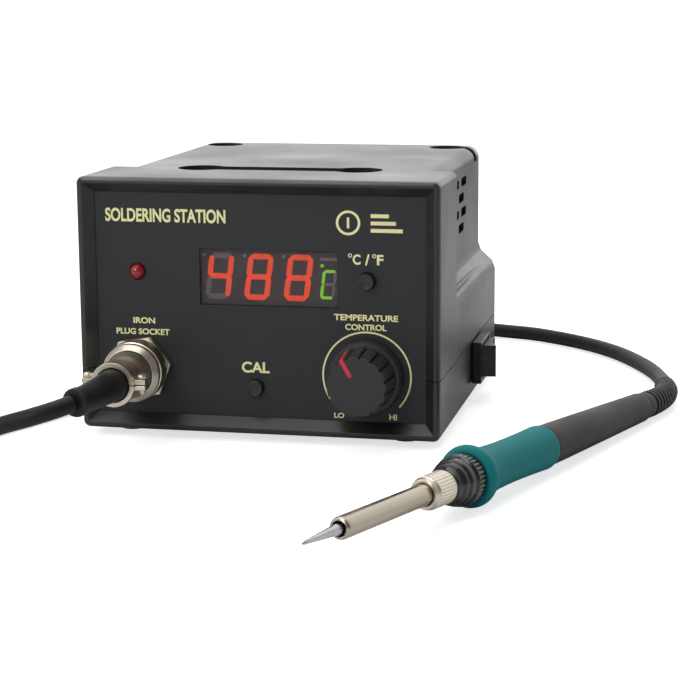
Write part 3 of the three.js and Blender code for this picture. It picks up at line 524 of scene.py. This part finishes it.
# nearly three turns inwards on the surface, then the rest outwards on top of them
def coilTurns():
    centreX, centreY = cordSize["coilAt"]
    bottomTurns, evenFrom = cordSize["bottomTurns"], cordSize["evenFrom"]
    topLevel = cordLow + 2 * cordSize["radius"]
    points = []
    count = round(cordSize["turns"] * cordSize["stepsPerTurn"])
    for n in range(1, count):
        turn = n / cordSize["stepsPerTurn"]
        bearing = math.pi - turn * 2 * math.pi
        inwards = cordSize["outerLane"] - cordSize["laneStep"] * max(turn - evenFrom, 0)
        entry = max(evenFrom - turn, 0) * cordSize["entrySlope"]
        innermost = cordSize["outerLane"] - cordSize["laneStep"] * (bottomTurns - evenFrom)
        if turn <= bottomTurns:
            radius = inwards + entry
        else:
            share = (turn - bottomTurns) / (cordSize["turns"] - bottomTurns)
            radius = innermost + share * cordSize["topSpread"]
        rise = min(max((turn - cordSize["climbFrom"]) / cordSize["climb"], 0), 1)
        level = cordLow + (topLevel - cordLow) * rise * rise * (3 - 2 * rise)
        points.append((centreX + radius * math.cos(bearing), centreY + radius * math.sin(bearing), level))
    return points


def makeCord(reliefEnd):
    routed = smoothRoute(plugStretch + coilTurns() + ironStretch + [reliefEnd], 4)
    line = [[x, y, z, cordSize["radius"]] for x, y, z in reversed(routed)]
    cord = tubeAlong("ironCord", line, 4)
    finishPiece(cord, None, cordRubber, ["cord_plug_side", "cord_coil", "cord_iron_side"], 60)
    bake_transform(cord)
    return cord


tieSize = {"reach": 9.9, "half": 2.4, "low": 0.02, "top": 12.4, "bevel": 2.0, "wall": 1.1, "under": 0.5}


def makeTie():
    centreX, centreY = cordSize["coilAt"]
    middle = centreX + cordSize["outer"]
    low = spot(middle - tieSize["reach"], centreY - tieSize["half"], tieSize["low"])
    high = spot(middle + tieSize["reach"], centreY + tieSize["half"], tieSize["top"])
    tie = addBox("cordTie", low, high, tieSize["bevel"])
    low += Vector((tieSize["wall"], -3, tieSize["under"])) * millimetre
    high += Vector((-tieSize["wall"], 3, -tieSize["wall"])) * millimetre
    hole = addBox("tieHole", low, high)
    cutWith(tie, hole)
    finishPiece(tie, "root", bootRubber, ["cord_tie"])
    return tie


nutJoint = joints["iron_nut_turn"]
heading = Vector(nutJoint["axis"]).normalized()
nutToFlange = 20.7
flange = Vector(nutJoint["pos_m"]) + heading * nutToFlange * millimetre


def alongIron(distance):
    return flange + heading * distance * millimetre


def makeTip():
    tip = turnPiece("solderTip", [
        (0, -85.7), (0.22, -85.62), (0.4, -85.3), (0.5, -84.8), (0.72, -81.5), (1.02, -77),
        (1.4, -71.4), (1.53, -70.2), (1.57, -69.6), (1.57, -62), (0, -62),
    ])
    layAlong(tip, flange, heading)
    finishPiece(tip, "iron", tinnedTip, ["iron_tip"])


def makePipe():
    pipe = turnPiece("ironPipe", [
        (1.85, -63), (1.85, -67.9), (1.92, -68.5), (2.15, -68.95), (2.45, -69.05), (2.75, -68.9),
        (2.97, -68.4), (3.05, -67.6), (3.05, -45), (3.05, -21), (1.85, -21), (1.85, -63),
    ])
    layAlong(pipe, flange, heading)
    finishPiece(pipe, "iron", pipeNickel, ["iron_pipe"])


nutKnurl = {"sides": 120, "from": -24.35, "to": -15.8, "depth": 0.22, "beyond": 4.6}


def makeNut():
    nut = turnPiece("ironNut", [
        (3.2, -26), (3.5, -26.2), (3.9, -26.2), (4.2, -26), (4.32, -25.6), (4.35, -24.8), (4.5, -24.5),
        (4.78, -24.3), (4.82, -24), (4.82, -15.9), (4.7, -15.5), (4.4, -15.3), (3.2, -15.3), (3.2, -26),
    ], nutKnurl["sides"])
    dentColumns(nut, nutKnurl, lambda column, row: column % 4 == 0)
    layAlong(nut, flange, heading)
    finishPiece(nut, "iron_nut", nickel, ["iron_nut"], 25)


collarRibs = {"sides": 144, "from": -7, "to": -3.1, "depth": 0.35, "beyond": 7}


def makeCollar():
    collar = turnPiece("ironCollar", [
        (3, -15), (4.6, -15), (5, -14.8), (5.1, -14.4), (5.15, -13.4), (5.35, -12.9), (5.8, -12.6),
        (6, -12.2), (6.05, -11), (6.1, -10.6), (6.5, -10.3), (6.7, -9.9), (6.75, -8.2), (6.8, -7.8),
        (7.15, -7.6), (7.3, -7.3), (7.35, -6.9), (7.35, -3.2), (7.2, -2.9), (3, -2.9), (3, -15),
    ], collarRibs["sides"])
    dentColumns(collar, collarRibs, lambda column, row: column % 4 == 0)
    layAlong(collar, flange, heading)
    finishPiece(collar, "iron", collarPlastic, ["iron_collar"], 30)


def makeGrip():
    grip = turnPiece("ironGrip", [
        (5, -2.4), (7.4, -2.5), (8.1, -2.35), (8.6, -1.95), (8.9, -1.3), (9, -0.5), (8.95, 0.3),
        (8.75, 1), (8.35, 1.7), (7.9, 2.4), (7.5, 3.4), (7.2, 4.8), (6.95, 6.8), (6.75, 9),
        (6.55, 12.5), (6.42, 17), (6.38, 22), (6.42, 28), (6.52, 34), (6.68, 40), (6.8, 43), (6.8, 44),
        (6.65, 44.7), (6.35, 45), (5, 45), (5, -2.4),
    ])
    layAlong(grip, flange, heading)
    finishPiece(grip, "iron", gripRubber, ["grip"], 50)


def makeHandle():
    handle = turnPiece("ironHandle", [
        (4, -2), (4.6, -2), (4.6, 45.3), (6.1, 45.3), (6.28, 45.6), (6.28, 46.5), (6.22, 54), (5.9, 70),
        (5.55, 87), (5.2, 103), (4.94, 115.4), (4.9, 117.8), (4.72, 118.6), (4.4, 119), (4, 119),
        (4, -2),
    ])
    layAlong(handle, flange, heading)
    finishPiece(handle, "iron", handlePlastic, ["handle_tube"], 40)


reliefSize = {
    "root": 111, "handleEnd": 119, "mouth": 132, "sleeveEnd": 13, "pitch": 2.6, "thick": 4.55,
    "ribDeep": 0.75,
}


# a smooth sleeve, then ribs that get smaller towards the cord
def makeStrainRelief():
    def inMillimetres(point):
        return list((point - frontMiddle) / millimetre)

    mouth = inMillimetres(alongIron(reliefSize["mouth"]))
    points = [inMillimetres(alongIron(reliefSize[key])) for key in ("root", "handleEnd")] + [mouth]
    points += [[mouth[0] + 2.6, mouth[1] + 10, 4.6], [mouth[0] + 3, mouth[1] + 20, 4.3],
               [mouth[0] + 1.7, mouth[1] + 30, 4]]
    route = smoothRoute(points, 24)
    lengths = [0]
    for before, after in zip(route, route[1:]):
        lengths.append(lengths[-1] + math.dist(before, after))

    def pointAt(distance):
        for n in range(1, len(lengths)):
            if distance <= lengths[n] or n == len(lengths) - 1:
                share = (distance - lengths[n - 1]) / (lengths[n] - lengths[n - 1])
                return [a + (b - a) * share for a, b in zip(route[n - 1], route[n])]

    sleeveEnd, pitch = reliefSize["sleeveEnd"], reliefSize["pitch"]
    stations = [(0, 3.2), (8.1, 3.2), (8.3, 4.3), (9, 4.5), (sleeveEnd - 0.6, 4.5), (sleeveEnd, 4.3)]
    place = sleeveEnd + 0.3
    while place + pitch < lengths[-1] - 1:
        thick = reliefSize["thick"] - (place - sleeveEnd) / (lengths[-1] - sleeveEnd)
        low = thick - reliefSize["ribDeep"]
        stations += [(place, low), (place + 0.8, low), (place + 1.05, thick - 0.1), (place + 1.3, thick),
                     (place + 2.1, thick), (place + 2.35, thick - 0.1)]
        place += pitch
    stations += [(lengths[-1] - 0.6, 3.1), (lengths[-1], 2.95)]
    relief = tubeAlong("strainRelief", [[*pointAt(at), radius] for at, radius in stations], 8)
    finishPiece(relief, "iron", bootRubber, ["strain_relief"], 30)
    return tuple(route[-1])


makeTip()
makePipe()
makeNut()
makeCollar()
makeGrip()
makeHandle()
reliefEnd = makeStrainRelief()
print("stage: iron")


plug = {"x": -39.7, "height": deskBase + 20.1, "clampNear": -19, "clampFar": -25.5, "screwAt": 8.8,
        "fineRib": 0.09}
plugCentre = spot(plug["x"], 0, plug["height"])
intoPanel = (0, 1, 0)


hexagon = {"radius": 10.9, "deep": 2.7, "turn": 21, "middle": 2.05, "hole": 8.3, "bevel": 0.35}


def makeSocketNut():
    bpy.ops.object.select_all(action="DESELECT")
    bpy.ops.mesh.primitive_cylinder_add(
        vertices=6, radius=hexagon["radius"] * millimetre, depth=hexagon["deep"] * millimetre,
    )
    nut = bpy.context.object
    nut.name = "socketNut"
    nut.rotation_euler = (math.radians(90), math.radians(hexagon["turn"]), 0)
    nut.location = spot(plug["x"], hexagon["middle"], plug["height"])
    applyPlace(nut)
    addBevel(nut, hexagon["bevel"], 3, 30)
    hole = turnPiece("nutHole", [(0, -8), (hexagon["hole"], -8), (hexagon["hole"], 8), (0, 8)])
    layAlong(hole, plugCentre, intoPanel)
    cutWith(nut, hole)
    finishPiece(nut, "root", nickel, ["socket_nut"], 25)


ringKnurl = {"sides": 144, "from": -4.9, "to": 0.12, "depth": 0.3, "beyond": 9.7, "rows": 11, "pitch": 0.48}


def makeCouplingRing():
    knurlRows = [(9.78, 0.1 - ringKnurl["pitch"] * n) for n in range(ringKnurl["rows"])]
    profile = [(8.2, 0.3), (9.4, 0.3), (9.65, 0.15)] + knurlRows + [
        (9.6, -4.95), (9.25, -5.1), (9.2, -5.4), (9.4, -5.6), (9.5, -5.9), (9.5, -6.9), (9.42, -7.2),
        (9.25, -7.5), (8.1, -8.95), (7.95, -9.12), (7.85, -9.2), (7.75, -9.15), (7.75, -7.4),
        (8.2, -7.2), (8.2, 0.3),
    ]
    ring = turnPiece("couplingRing", profile, ringKnurl["sides"])
    dentColumns(ring, ringKnurl, lambda column, row: (column + round(row / 4.8)) % 2 == 0)
    layAlong(ring, plugCentre, intoPanel)
    return finishPiece(ring, "coupling_ring", nickel, ["coupling_ring"], 25)


def makePlugShell():
    shell = turnPiece("plugShell", [
        (6.2, -5), (7.9, -5), (7.9, -6.9), (7.4, -6.95), (7.4, -9.4), (7.36, -10.2), (7.24, -11),
        (7.04, -11.9), (6.78, -12.8), (6.48, -13.6), (6.2, -14.3), (6, -14.9), (5.9, -15.6),
        (5.9, -18.5), (5.75, -18.7), (5, -18.7), (5, -14), (6.2, -11), (6.2, -5),
    ], 96)
    layAlong(shell, plugCentre, intoPanel)
    for n in range(3):
        notch = addBox("notch", (-0.009, -0.0195, -0.0011), (0.009, -0.0171, 0.0011))
        notch.matrix_world = Matrix.Translation(plugCentre) @ Matrix.Rotation(math.radians(60 * n), 4, "Y")
        applyPlace(notch)
        cutWith(shell, notch)
    return finishPiece(shell, "root", nickel, ["plug_shell"], 30)


def makeClampScrew():
    screw = turnPiece("clampScrew", [
        (0, -3), (0.8, -3), (0.8, 2), (1.45, 2), (1.55, 2.15), (1.55, 2.6), (1.3, 3), (0.7, 3.2),
        (0, 3.25),
    ], 32)
    slot = addBox("screwSlot", (-0.002, -0.00022, 0.0027), (0.002, 0.00022, 0.004))
    cutWith(screw, slot)
    return screw


def makeClamps():
    pieces = []
    for half in ("upper", "lower"):
        piece = refineNode(f"cable_clamp_{half}", f"cableClamp_{half}", "root", nickel, 0.6)
        pieces.append(piece)
    screw = makeClampScrew()
    middle = (plug["clampNear"] + plug["clampFar"]) / 2
    for name, side in (("left", -1), ("right", 1)):
        twin = copyPiece(screw, f"clampScrew_{name}")
        layAlong(twin, spot(plug["x"] + side * plug["screwAt"], middle, plug["height"]), (0, 0, 1))
        pieces.append(finishPiece(twin, "root", nickel, [f"clamp_screw_{name}"]))
    bpy.data.objects.remove(screw)
    return pieces


def makeBoot():
    x, z = plug["x"], plug["height"]
    route = [
        (x, -19.3, z, 5.2), (x, -21, z, 5.2), (x, -24.5, z, 5.2), (x, -27.5, z, 5.05),
        (x - 0.3, -32, z, 4.85), (x - 0.85, -37, z, 4.6), (x - 1.7, -42, z - 0.15, 4.35),
        (x - 2.9, -47, z - 0.35, 4.15),
    ]
    line = smoothRoute(route, 12)
    for n, step in enumerate(line[12:-4]):
        step[3] -= plug["fineRib"] * (n % 2)  # the fine ribs moulded round it
    end = Vector(route[-1][:3])
    ahead = (end - Vector(route[-2][:3])).normalized()
    for step, radius in ((0.3, 4.3), (0.6, 4.5), (2.2, 4.5), (2.7, 4.3), (2.95, 3.7), (3.0, 2.9)):
        line.append([*(end + ahead * step), radius])
    boot = tubeAlong("plugBoot", line, 10)
    return finishPiece(boot, "root", bootRubber, ["plug_boot"], 30)


makeSocketNut()
plugPieces = [makeCouplingRing(), makePlugShell()] + makeClamps() + [makeBoot()]
tie = makeTie()
makeCord(reliefEnd)
print("stage: plug and cord")


panelFace = 3.7
knob = {"x": 35, "height": deskBase + 19.7, "rest": -30, "flutes": 15}
knobDents = {"sides": 120, "from": -12.95, "to": -1.6, "depth": 0.85, "beyond": 9}


def makeKnob():
    body = turnPiece("temperatureKnob", [
        (0, -13), (6, -13), (8.9, -13), (9.25, -12.9), (9.45, -12.6), (9.55, -12.2), (9.95, -7.5),
        (10.35, -2.4), (10.4, -1.7), (11.3, -1.5), (11.6, -1.2), (11.75, -0.7), (11.85, 0.6),
        (11.85, 2.6), (11.6, 3), (6.6, 3), (6.6, -3), (3.4, -3), (3.4, -9.4), (0, -9.4),
    ], knobDents["sides"])
    each = knobDents["sides"] // knob["flutes"]
    dentColumns(body, knobDents, lambda column, row: column % each == each // 2)
    layAlong(body, spot(knob["x"], 0, knob["height"]), intoPanel)
    finishPiece(body, "knob", knobPlastic, ["temperature_knob"], 30)


# the line down the knob's side, in metres: its front end, its run, and how its reach grows
sideRun = {"front": 0.01285, "run": 0.01115, "reach": 0.0096, "grow": 0.00087, "top": 0.0001, "sunk": 0.0006}


def makePointer():
    faceLine = addBox("faceLine", (-0.00065, -0.01306, 0.0036), (0.00065, -0.0128, 0.0094), 0.05)
    sideLine = addBox("sideLine", (-0.00065, -0.01285, 0.0088), (0.00065, -0.0021, 0.01))
    for vertex in sideLine.data.vertices:
        share = (vertex.co.y + sideRun["front"]) / sideRun["run"]
        reach = sideRun["reach"] + share * sideRun["grow"]
        vertex.co.z = reach + (sideRun["top"] if vertex.co.z > 0.0095 else -sideRun["sunk"])
    pointer = joinPieces("knobPointer", [faceLine, sideLine])
    turn = Matrix.Rotation(math.radians(knob["rest"]), 4, "Y")
    pointer.matrix_world = Matrix.Translation(spot(knob["x"], 0, knob["height"])) @ turn
    applyPlace(pointer)
    finishPiece(pointer, "knob", pointerPaint, ["knob_pointer"])


buttons = [
    # name, body, x, height, how far it stands out
    ("unit", "unit_button", 35.2, 50.2, 2.6), ("calibration", "calibration_button", -1.3, 14.7, 2.2),
]


def makeButtons():
    for name, body, x, height, proud in buttons:
        face = panelFace - proud
        cap = turnPiece(f"{name}Button", [
            (0, face + 0.25), (1.6, face + 0.2), (2, face + 0.05), (2.25, face), (2.5, face + 0.15),
            (2.65, face + 0.5), (2.65, 5.9), (3.6, 5.9), (3.6, 6.8), (1.4, 6.8), (1.4, 9.6), (0, 9.6),
        ])
        layAlong(cap, spot(x, 0, deskBase + height), intoPanel)
        finishPiece(cap, body, buttonPlastic, [f"{name}_button"])


led = {"x": -40.1, "height": 51.4, "radius": 2.5, "steps": 10}


def makeLed():
    bearings = [n * math.pi / (2 * led["steps"]) for n in range(led["steps"] + 1)]
    dome = [(led["radius"] * math.sin(a), panelFace - led["radius"] * math.cos(a)) for a in bearings]
    lens = turnPiece("powerLed", dome + [(2.5, 6), (3, 6), (3, 7.1), (0, 7.1)])
    layAlong(lens, spot(led["x"], 0, deskBase + led["height"]), intoPanel)
    finishPiece(lens, "root", ledLens, ["power_led"])


segment = {"width": 1.75, "thick": 0.1, "slant": 0.13, "gapEnds": 0.1, "pointed": 0.5}
digitSize = {"wide": 8.3, "tall": 14.9}
unitSize = {"wide": 4.6, "tall": 9.4}
displayFront = 5.86
digits = [(-13.3, "fbgc"), (-0.4, "abcdefg"), (12.6, "abcdefg")]  # x, and the bars that are lit


# one bar with pointed ends, lying along X
def makeBar(length, width):
    bpy.ops.object.select_all(action="DESELECT")
    bpy.ops.mesh.primitive_cube_add(size=1)
    bar = bpy.context.object
    bar.scale = Vector((length - width, segment["thick"], width)) * millimetre
    applyPlace(bar)
    for side in (-1, 1):
        clearChoice(bar)
        for face in bar.data.polygons:
            face.select = face.normal.x * side > 0.9
        bpy.ops.object.mode_set(mode="EDIT")
        reach = side * (width / 2 - segment["gapEnds"]) * millimetre
        bpy.ops.mesh.extrude_region_move(TRANSFORM_OT_translate={"value": (reach, 0, 0)})
        bpy.ops.transform.resize(value=(1, 1, segment["pointed"]))
        closeMesh()
    return bar


def makeDigit(x, z, size, width, lit):
    wide, tall = size["wide"] - width, size["tall"] - width
    half = tall / 2
    places = {
        "a": (0, half, 0), "g": (0, 0, 0), "d": (0, -half, 0), "f": (-wide / 2, half / 2, 90),
        "b": (wide / 2, half / 2, 90), "e": (-wide / 2, -half / 2, 90), "c": (wide / 2, -half / 2, 90),
    }
    shown, dark = [], []
    for label, (dx, dz, turn) in places.items():
        bar = makeBar(half if turn else wide, width)
        bar.matrix_world = (
            Matrix.Translation(Vector((dx + segment["slant"] * dz, 0, dz)) * millimetre)
            @ Matrix.Rotation(math.radians(turn), 4, "Y")
        )
        applyPlace(bar)
        if turn:
            lean = Matrix.Identity(4)
            lean[0][2] = segment["slant"]
            shift = Matrix.Translation(Vector((-segment["slant"] * dz, 0, 0)) * millimetre)
            bar.data.transform(shift @ lean)
        bar.location = spot(x, displayFront, deskBase + z)
        applyPlace(bar)
        (shown if label in lit else dark).append(bar)
    return shown, dark


def makeDisplay():
    litBars, darkBars = [], []
    for x, lit in digits:
        shown, dark = makeDigit(x, 50.3, digitSize, segment["width"], lit)
        litBars += shown
        darkBars += dark
    unitBars, unitDark = makeDigit(22.3, 48.4, unitSize, 0.95, "afed")
    darkBars += unitDark
    dot = turnPiece("degreeDot", [(0, -0.05), (0.55, -0.05), (0.55, 0.05), (0, 0.05)], 20)
    layAlong(dot, spot(20.3, displayFront, deskBase + 54.4), intoPanel)
    unitBars.append(dot)
    darkBars.append(addBox("darkBar", spot(19.7, displayFront - 0.05, deskBase + 56),
                           spot(25.2, displayFront + 0.05, deskBase + 57)))
    for x in (-19, -5.6, 7.2):
        mark = turnPiece("cornerDot", [(0, -0.05), (0.6, -0.05), (0.6, 0.05), (0, 0.05)], 20)
        layAlong(mark, spot(x + 0.6, displayFront, deskBase + 57), intoPanel)
        darkBars.append(mark)
    finishPiece(joinPieces("litSegments", litBars), "root", litSegment)
    finishPiece(joinPieces("unitSegments", unitBars), "root", unitSegment)
    finishPiece(joinPieces("darkSegments", darkBars), "root", unlitSegment)


printing = {"thick": 0.05, "arcRadius": 13.9, "arcWidth": 0.55, "arcFrom": -125, "arcTo": 135}
words = [
    # text, middle x, middle height, letter height, width
    ("SOLDERING STATION", -30.5, 69.6, 4.4, 40.0), ("IRON", -38.3, 35.4, 2.0, 7.4),
    ("PLUG SOCKET", -38.8, 31.75, 2.0, 18.0), ("CAL", -1.3, 21.25, 3.6, 9.2),
    ("TEMPERATURE", 34.8, 38.5, 2.0, 20.6), ("CONTROL", 34.75, 35.45, 2.0, 13.3),
    ("LO", 25.95, 6.7, 1.7, 3.3), ("HI", 43.45, 6.8, 1.9, 2.5), ("C", 31.9, 57, 3.3, 2.5),
    ("/", 35.3, 57, 3.5, 1.5), ("F", 39.4, 57, 3.3, 2.1),
]


def printWord(text, x, height, tall, wide):
    bpy.ops.object.select_all(action="DESELECT")
    bpy.ops.object.text_add()
    word = bpy.context.object
    word.data.body = text
    word.data.offset = 0.03
    word.data.extrude = 0.5
    bpy.ops.object.convert(target="MESH")
    word = bpy.context.object
    corners = [Vector(corner) for corner in word.bound_box]
    low = Vector([min(corner[k] for corner in corners) for k in range(3)])
    high = Vector([max(corner[k] for corner in corners) for k in range(3)])
    size = high - low
    word.data.transform(Matrix.Translation(-(low + high) / 2))
    word.data.transform(Matrix.Diagonal((
        wide / size.x * millimetre, tall / size.y * millimetre, printing["thick"] / size.z * millimetre, 1,
    )))
    word.rotation_euler = (math.radians(90), 0, 0)
    word.location = spot(x, panelFace - printing["thick"] / 2, deskBase + height)
    applyPlace(word)
    return word


# a flat ring round a centre, open where chosen refuses
def printRing(x, height, radius, width, chosen=None, sides=96):
    bpy.ops.object.select_all(action="DESELECT")
    bpy.ops.mesh.primitive_circle_add(vertices=sides, radius=radius * millimetre)
    ring = bpy.context.object
    clearChoice(ring)
    if chosen:
        for vertex in ring.data.vertices:
            bearing = math.degrees(math.atan2(vertex.co.x, vertex.co.y))
            vertex.select = not chosen(bearing)
        bpy.ops.object.mode_set(mode="EDIT")
        bpy.ops.mesh.delete(type="VERT")
        closeMesh()
    openMesh(ring)
    bpy.ops.mesh.select_all(action="SELECT")
    grow = 1 + width / radius
    bpy.ops.mesh.extrude_region_move()
    bpy.ops.transform.resize(value=(grow, grow, 1), center_override=(0, 0, 0))
    bpy.ops.mesh.select_all(action="SELECT")
    thick = printing["thick"] * millimetre
    bpy.ops.mesh.extrude_region_move(TRANSFORM_OT_translate={"value": (0, 0, thick)})
    bpy.ops.mesh.select_all(action="SELECT")
    bpy.ops.mesh.normals_make_consistent(inside=False)
    closeMesh()
    ring.rotation_euler = (math.radians(90), 0, 0)
    ring.location = spot(x, panelFace, deskBase + height)
    applyPlace(ring)
    return ring


def inArc(bearing):
    return printing["arcFrom"] < bearing < printing["arcTo"]


# a plain pictogram at the upper right: a ring round a short stem, and three bars
def makePictogram():
    thick = printing["thick"]
    pieces = [printRing(29.2, 68.5, 3.1, 0.8)]
    low, high = spot(28.8, panelFace - thick, deskBase + 66.8), spot(29.6, panelFace, deskBase + 70.2)
    pieces.append(addBox("stem", low, high))
    for n in range(3):
        low = spot(36.4, panelFace - thick, deskBase + 65.6 + 2.3 * n)
        high = spot(46.6 - 2.2 * n, panelFace, deskBase + 66.8 + 2.3 * n)
        pieces.append(addBox("bar", low, high))
    return pieces


def makePrint():
    pieces = [printWord(*word) for word in words]
    for x in (29.8, 37.5):
        pieces.append(printRing(x, 58.2, 0.38, 0.28, None, 24))
    pieces.append(printRing(knob["x"], 19.7, printing["arcRadius"], printing["arcWidth"], inArc, 144))
    pieces += makePictogram()
    finishPiece(joinPieces("panelPrint", pieces), "root", panelInk)


makeKnob()
makePointer()
makeButtons()
makeLed()
makeDisplay()
makePrint()
print("stage: front")


def makeScrews():
    profile = [
        (0, -8), (1.5, -8), (1.5, -2), (2.9, -2), (3, -1.8), (2.9, -1), (2.4, -0.4), (1.5, -0.1),
        (0, 0),
    ]
    screw = turnPiece("crossScrew", profile, 32)
    for wide, deep in ((1.7, 0.28), (0.28, 1.7)):
        reach = Vector((wide, deep, 1.2)) * millimetre
        cutWith(screw, addBox("cross", -reach, reach + Vector((0, 0, 0.001))))
    for node in [n for n in nodes if n.startswith("case_screw_")]:
        low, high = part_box(node)
        twin = copyPiece(screw, node.replace("case_screw", "caseScrew"))
        layAlong(twin, Vector(((low.x + high.x) / 2, (low.y + high.y) / 2, high.z)), (0, 0, 1))
        finishPiece(twin, "root", blackScrew, [node])
    for node in ("inlet_screw_left", "inlet_screw_right"):
        low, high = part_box(node)
        twin = copyPiece(screw, node.replace("inlet_screw", "inletScrew"))
        twin.scale = (0.95, 0.95, (high.y - low.y) / 0.008)
        applyPlace(twin)
        layAlong(twin, Vector(((low.x + high.x) / 2, high.y, (low.z + high.z) / 2)), (0, 1, 0))
        finishPiece(twin, "root", nickel, [node])
    bpy.data.objects.remove(screw)


crease = {"from": 34.6, "deepest": 46, "to": 101, "height": 41.3, "out": 56.7, "wide": 1.2, "tall": 0.9}


# a shallow groove that runs back along the flare and fades out
def makeCrease(shell, side):
    bpy.ops.object.select_all(action="DESELECT")
    bpy.ops.mesh.primitive_uv_sphere_add(segments=24, ring_count=32, radius=millimetre)
    groove = bpy.context.object
    groove.name = "creaseCutter"
    groove.scale = (crease["wide"], crease["to"] - crease["deepest"], crease["tall"])
    groove.location = spot(side * crease["out"], crease["deepest"], deskBase + crease["height"])
    applyPlace(groove)
    openMesh(groove)
    bpy.ops.mesh.select_all(action="SELECT")
    bpy.ops.mesh.bisect(
        plane_co=spot(0, crease["from"], 0), plane_no=(0, 1, 0), use_fill=True, clear_inner=True,
    )
    closeMesh()
    cutWith(shell, groove)


upperShell = refineNode("upper_shell", "upperShell", "root", shellPlastic, 0.3, 32)
for side in (-1, 1):
    makeCrease(upperShell, side)
refineNode("lower_shell", "lowerShell", "root", shellPlastic, 0.3, 32)
makeScrews()
for node in [n for n in nodes if n.startswith("foot_")]:
    refineNode(node, node.replace("foot", "rubberFoot"), "root", footRubber, 0.3)
refineNode("mains_inlet", "mainsInlet", "root", inletPlastic, 0.4)
refineNode("fuse_drawer", "fuseDrawer", "fuse_drawer", inletPlastic, 0.3)
refineNode("switch_body", "switchBody", "root", inletPlastic, 0.4)
refineNode("power_rocker", "powerRocker", "power_rocker", inletPlastic, 0.5)
for node in ("inlet_pin_live", "inlet_pin_neutral", "inlet_pin_earth"):
    refineNode(node, node.replace("inlet_pin", "inletPin"), "root", nickel, 0.35)

keptNodes = {
    "front_panel": panelFilm, "rear_panel": panelFilm, "display_window": windowPlastic,
    "display_module": displayFace, "control_board": boardGreen, "main_board": boardGreen,
    "potentiometer": plainSteel, "potentiometer_shaft": plainSteel, "panel_socket": nickel,
    "socket_insert": bakelite, "transformer_core": laminatedSteel, "transformer_winding": copperWire,
    "transformer_bracket": plainSteel, "smoothing_capacitor": capacitorSleeve, "heat_sink": bareAluminium,
    "triac": buttonPlastic, "heater": ceramic,
}
for node, material in keptNodes.items():
    nodes[node].data.materials.clear()
    nodes[node].data.materials.append(material)
print("stage: case and back")
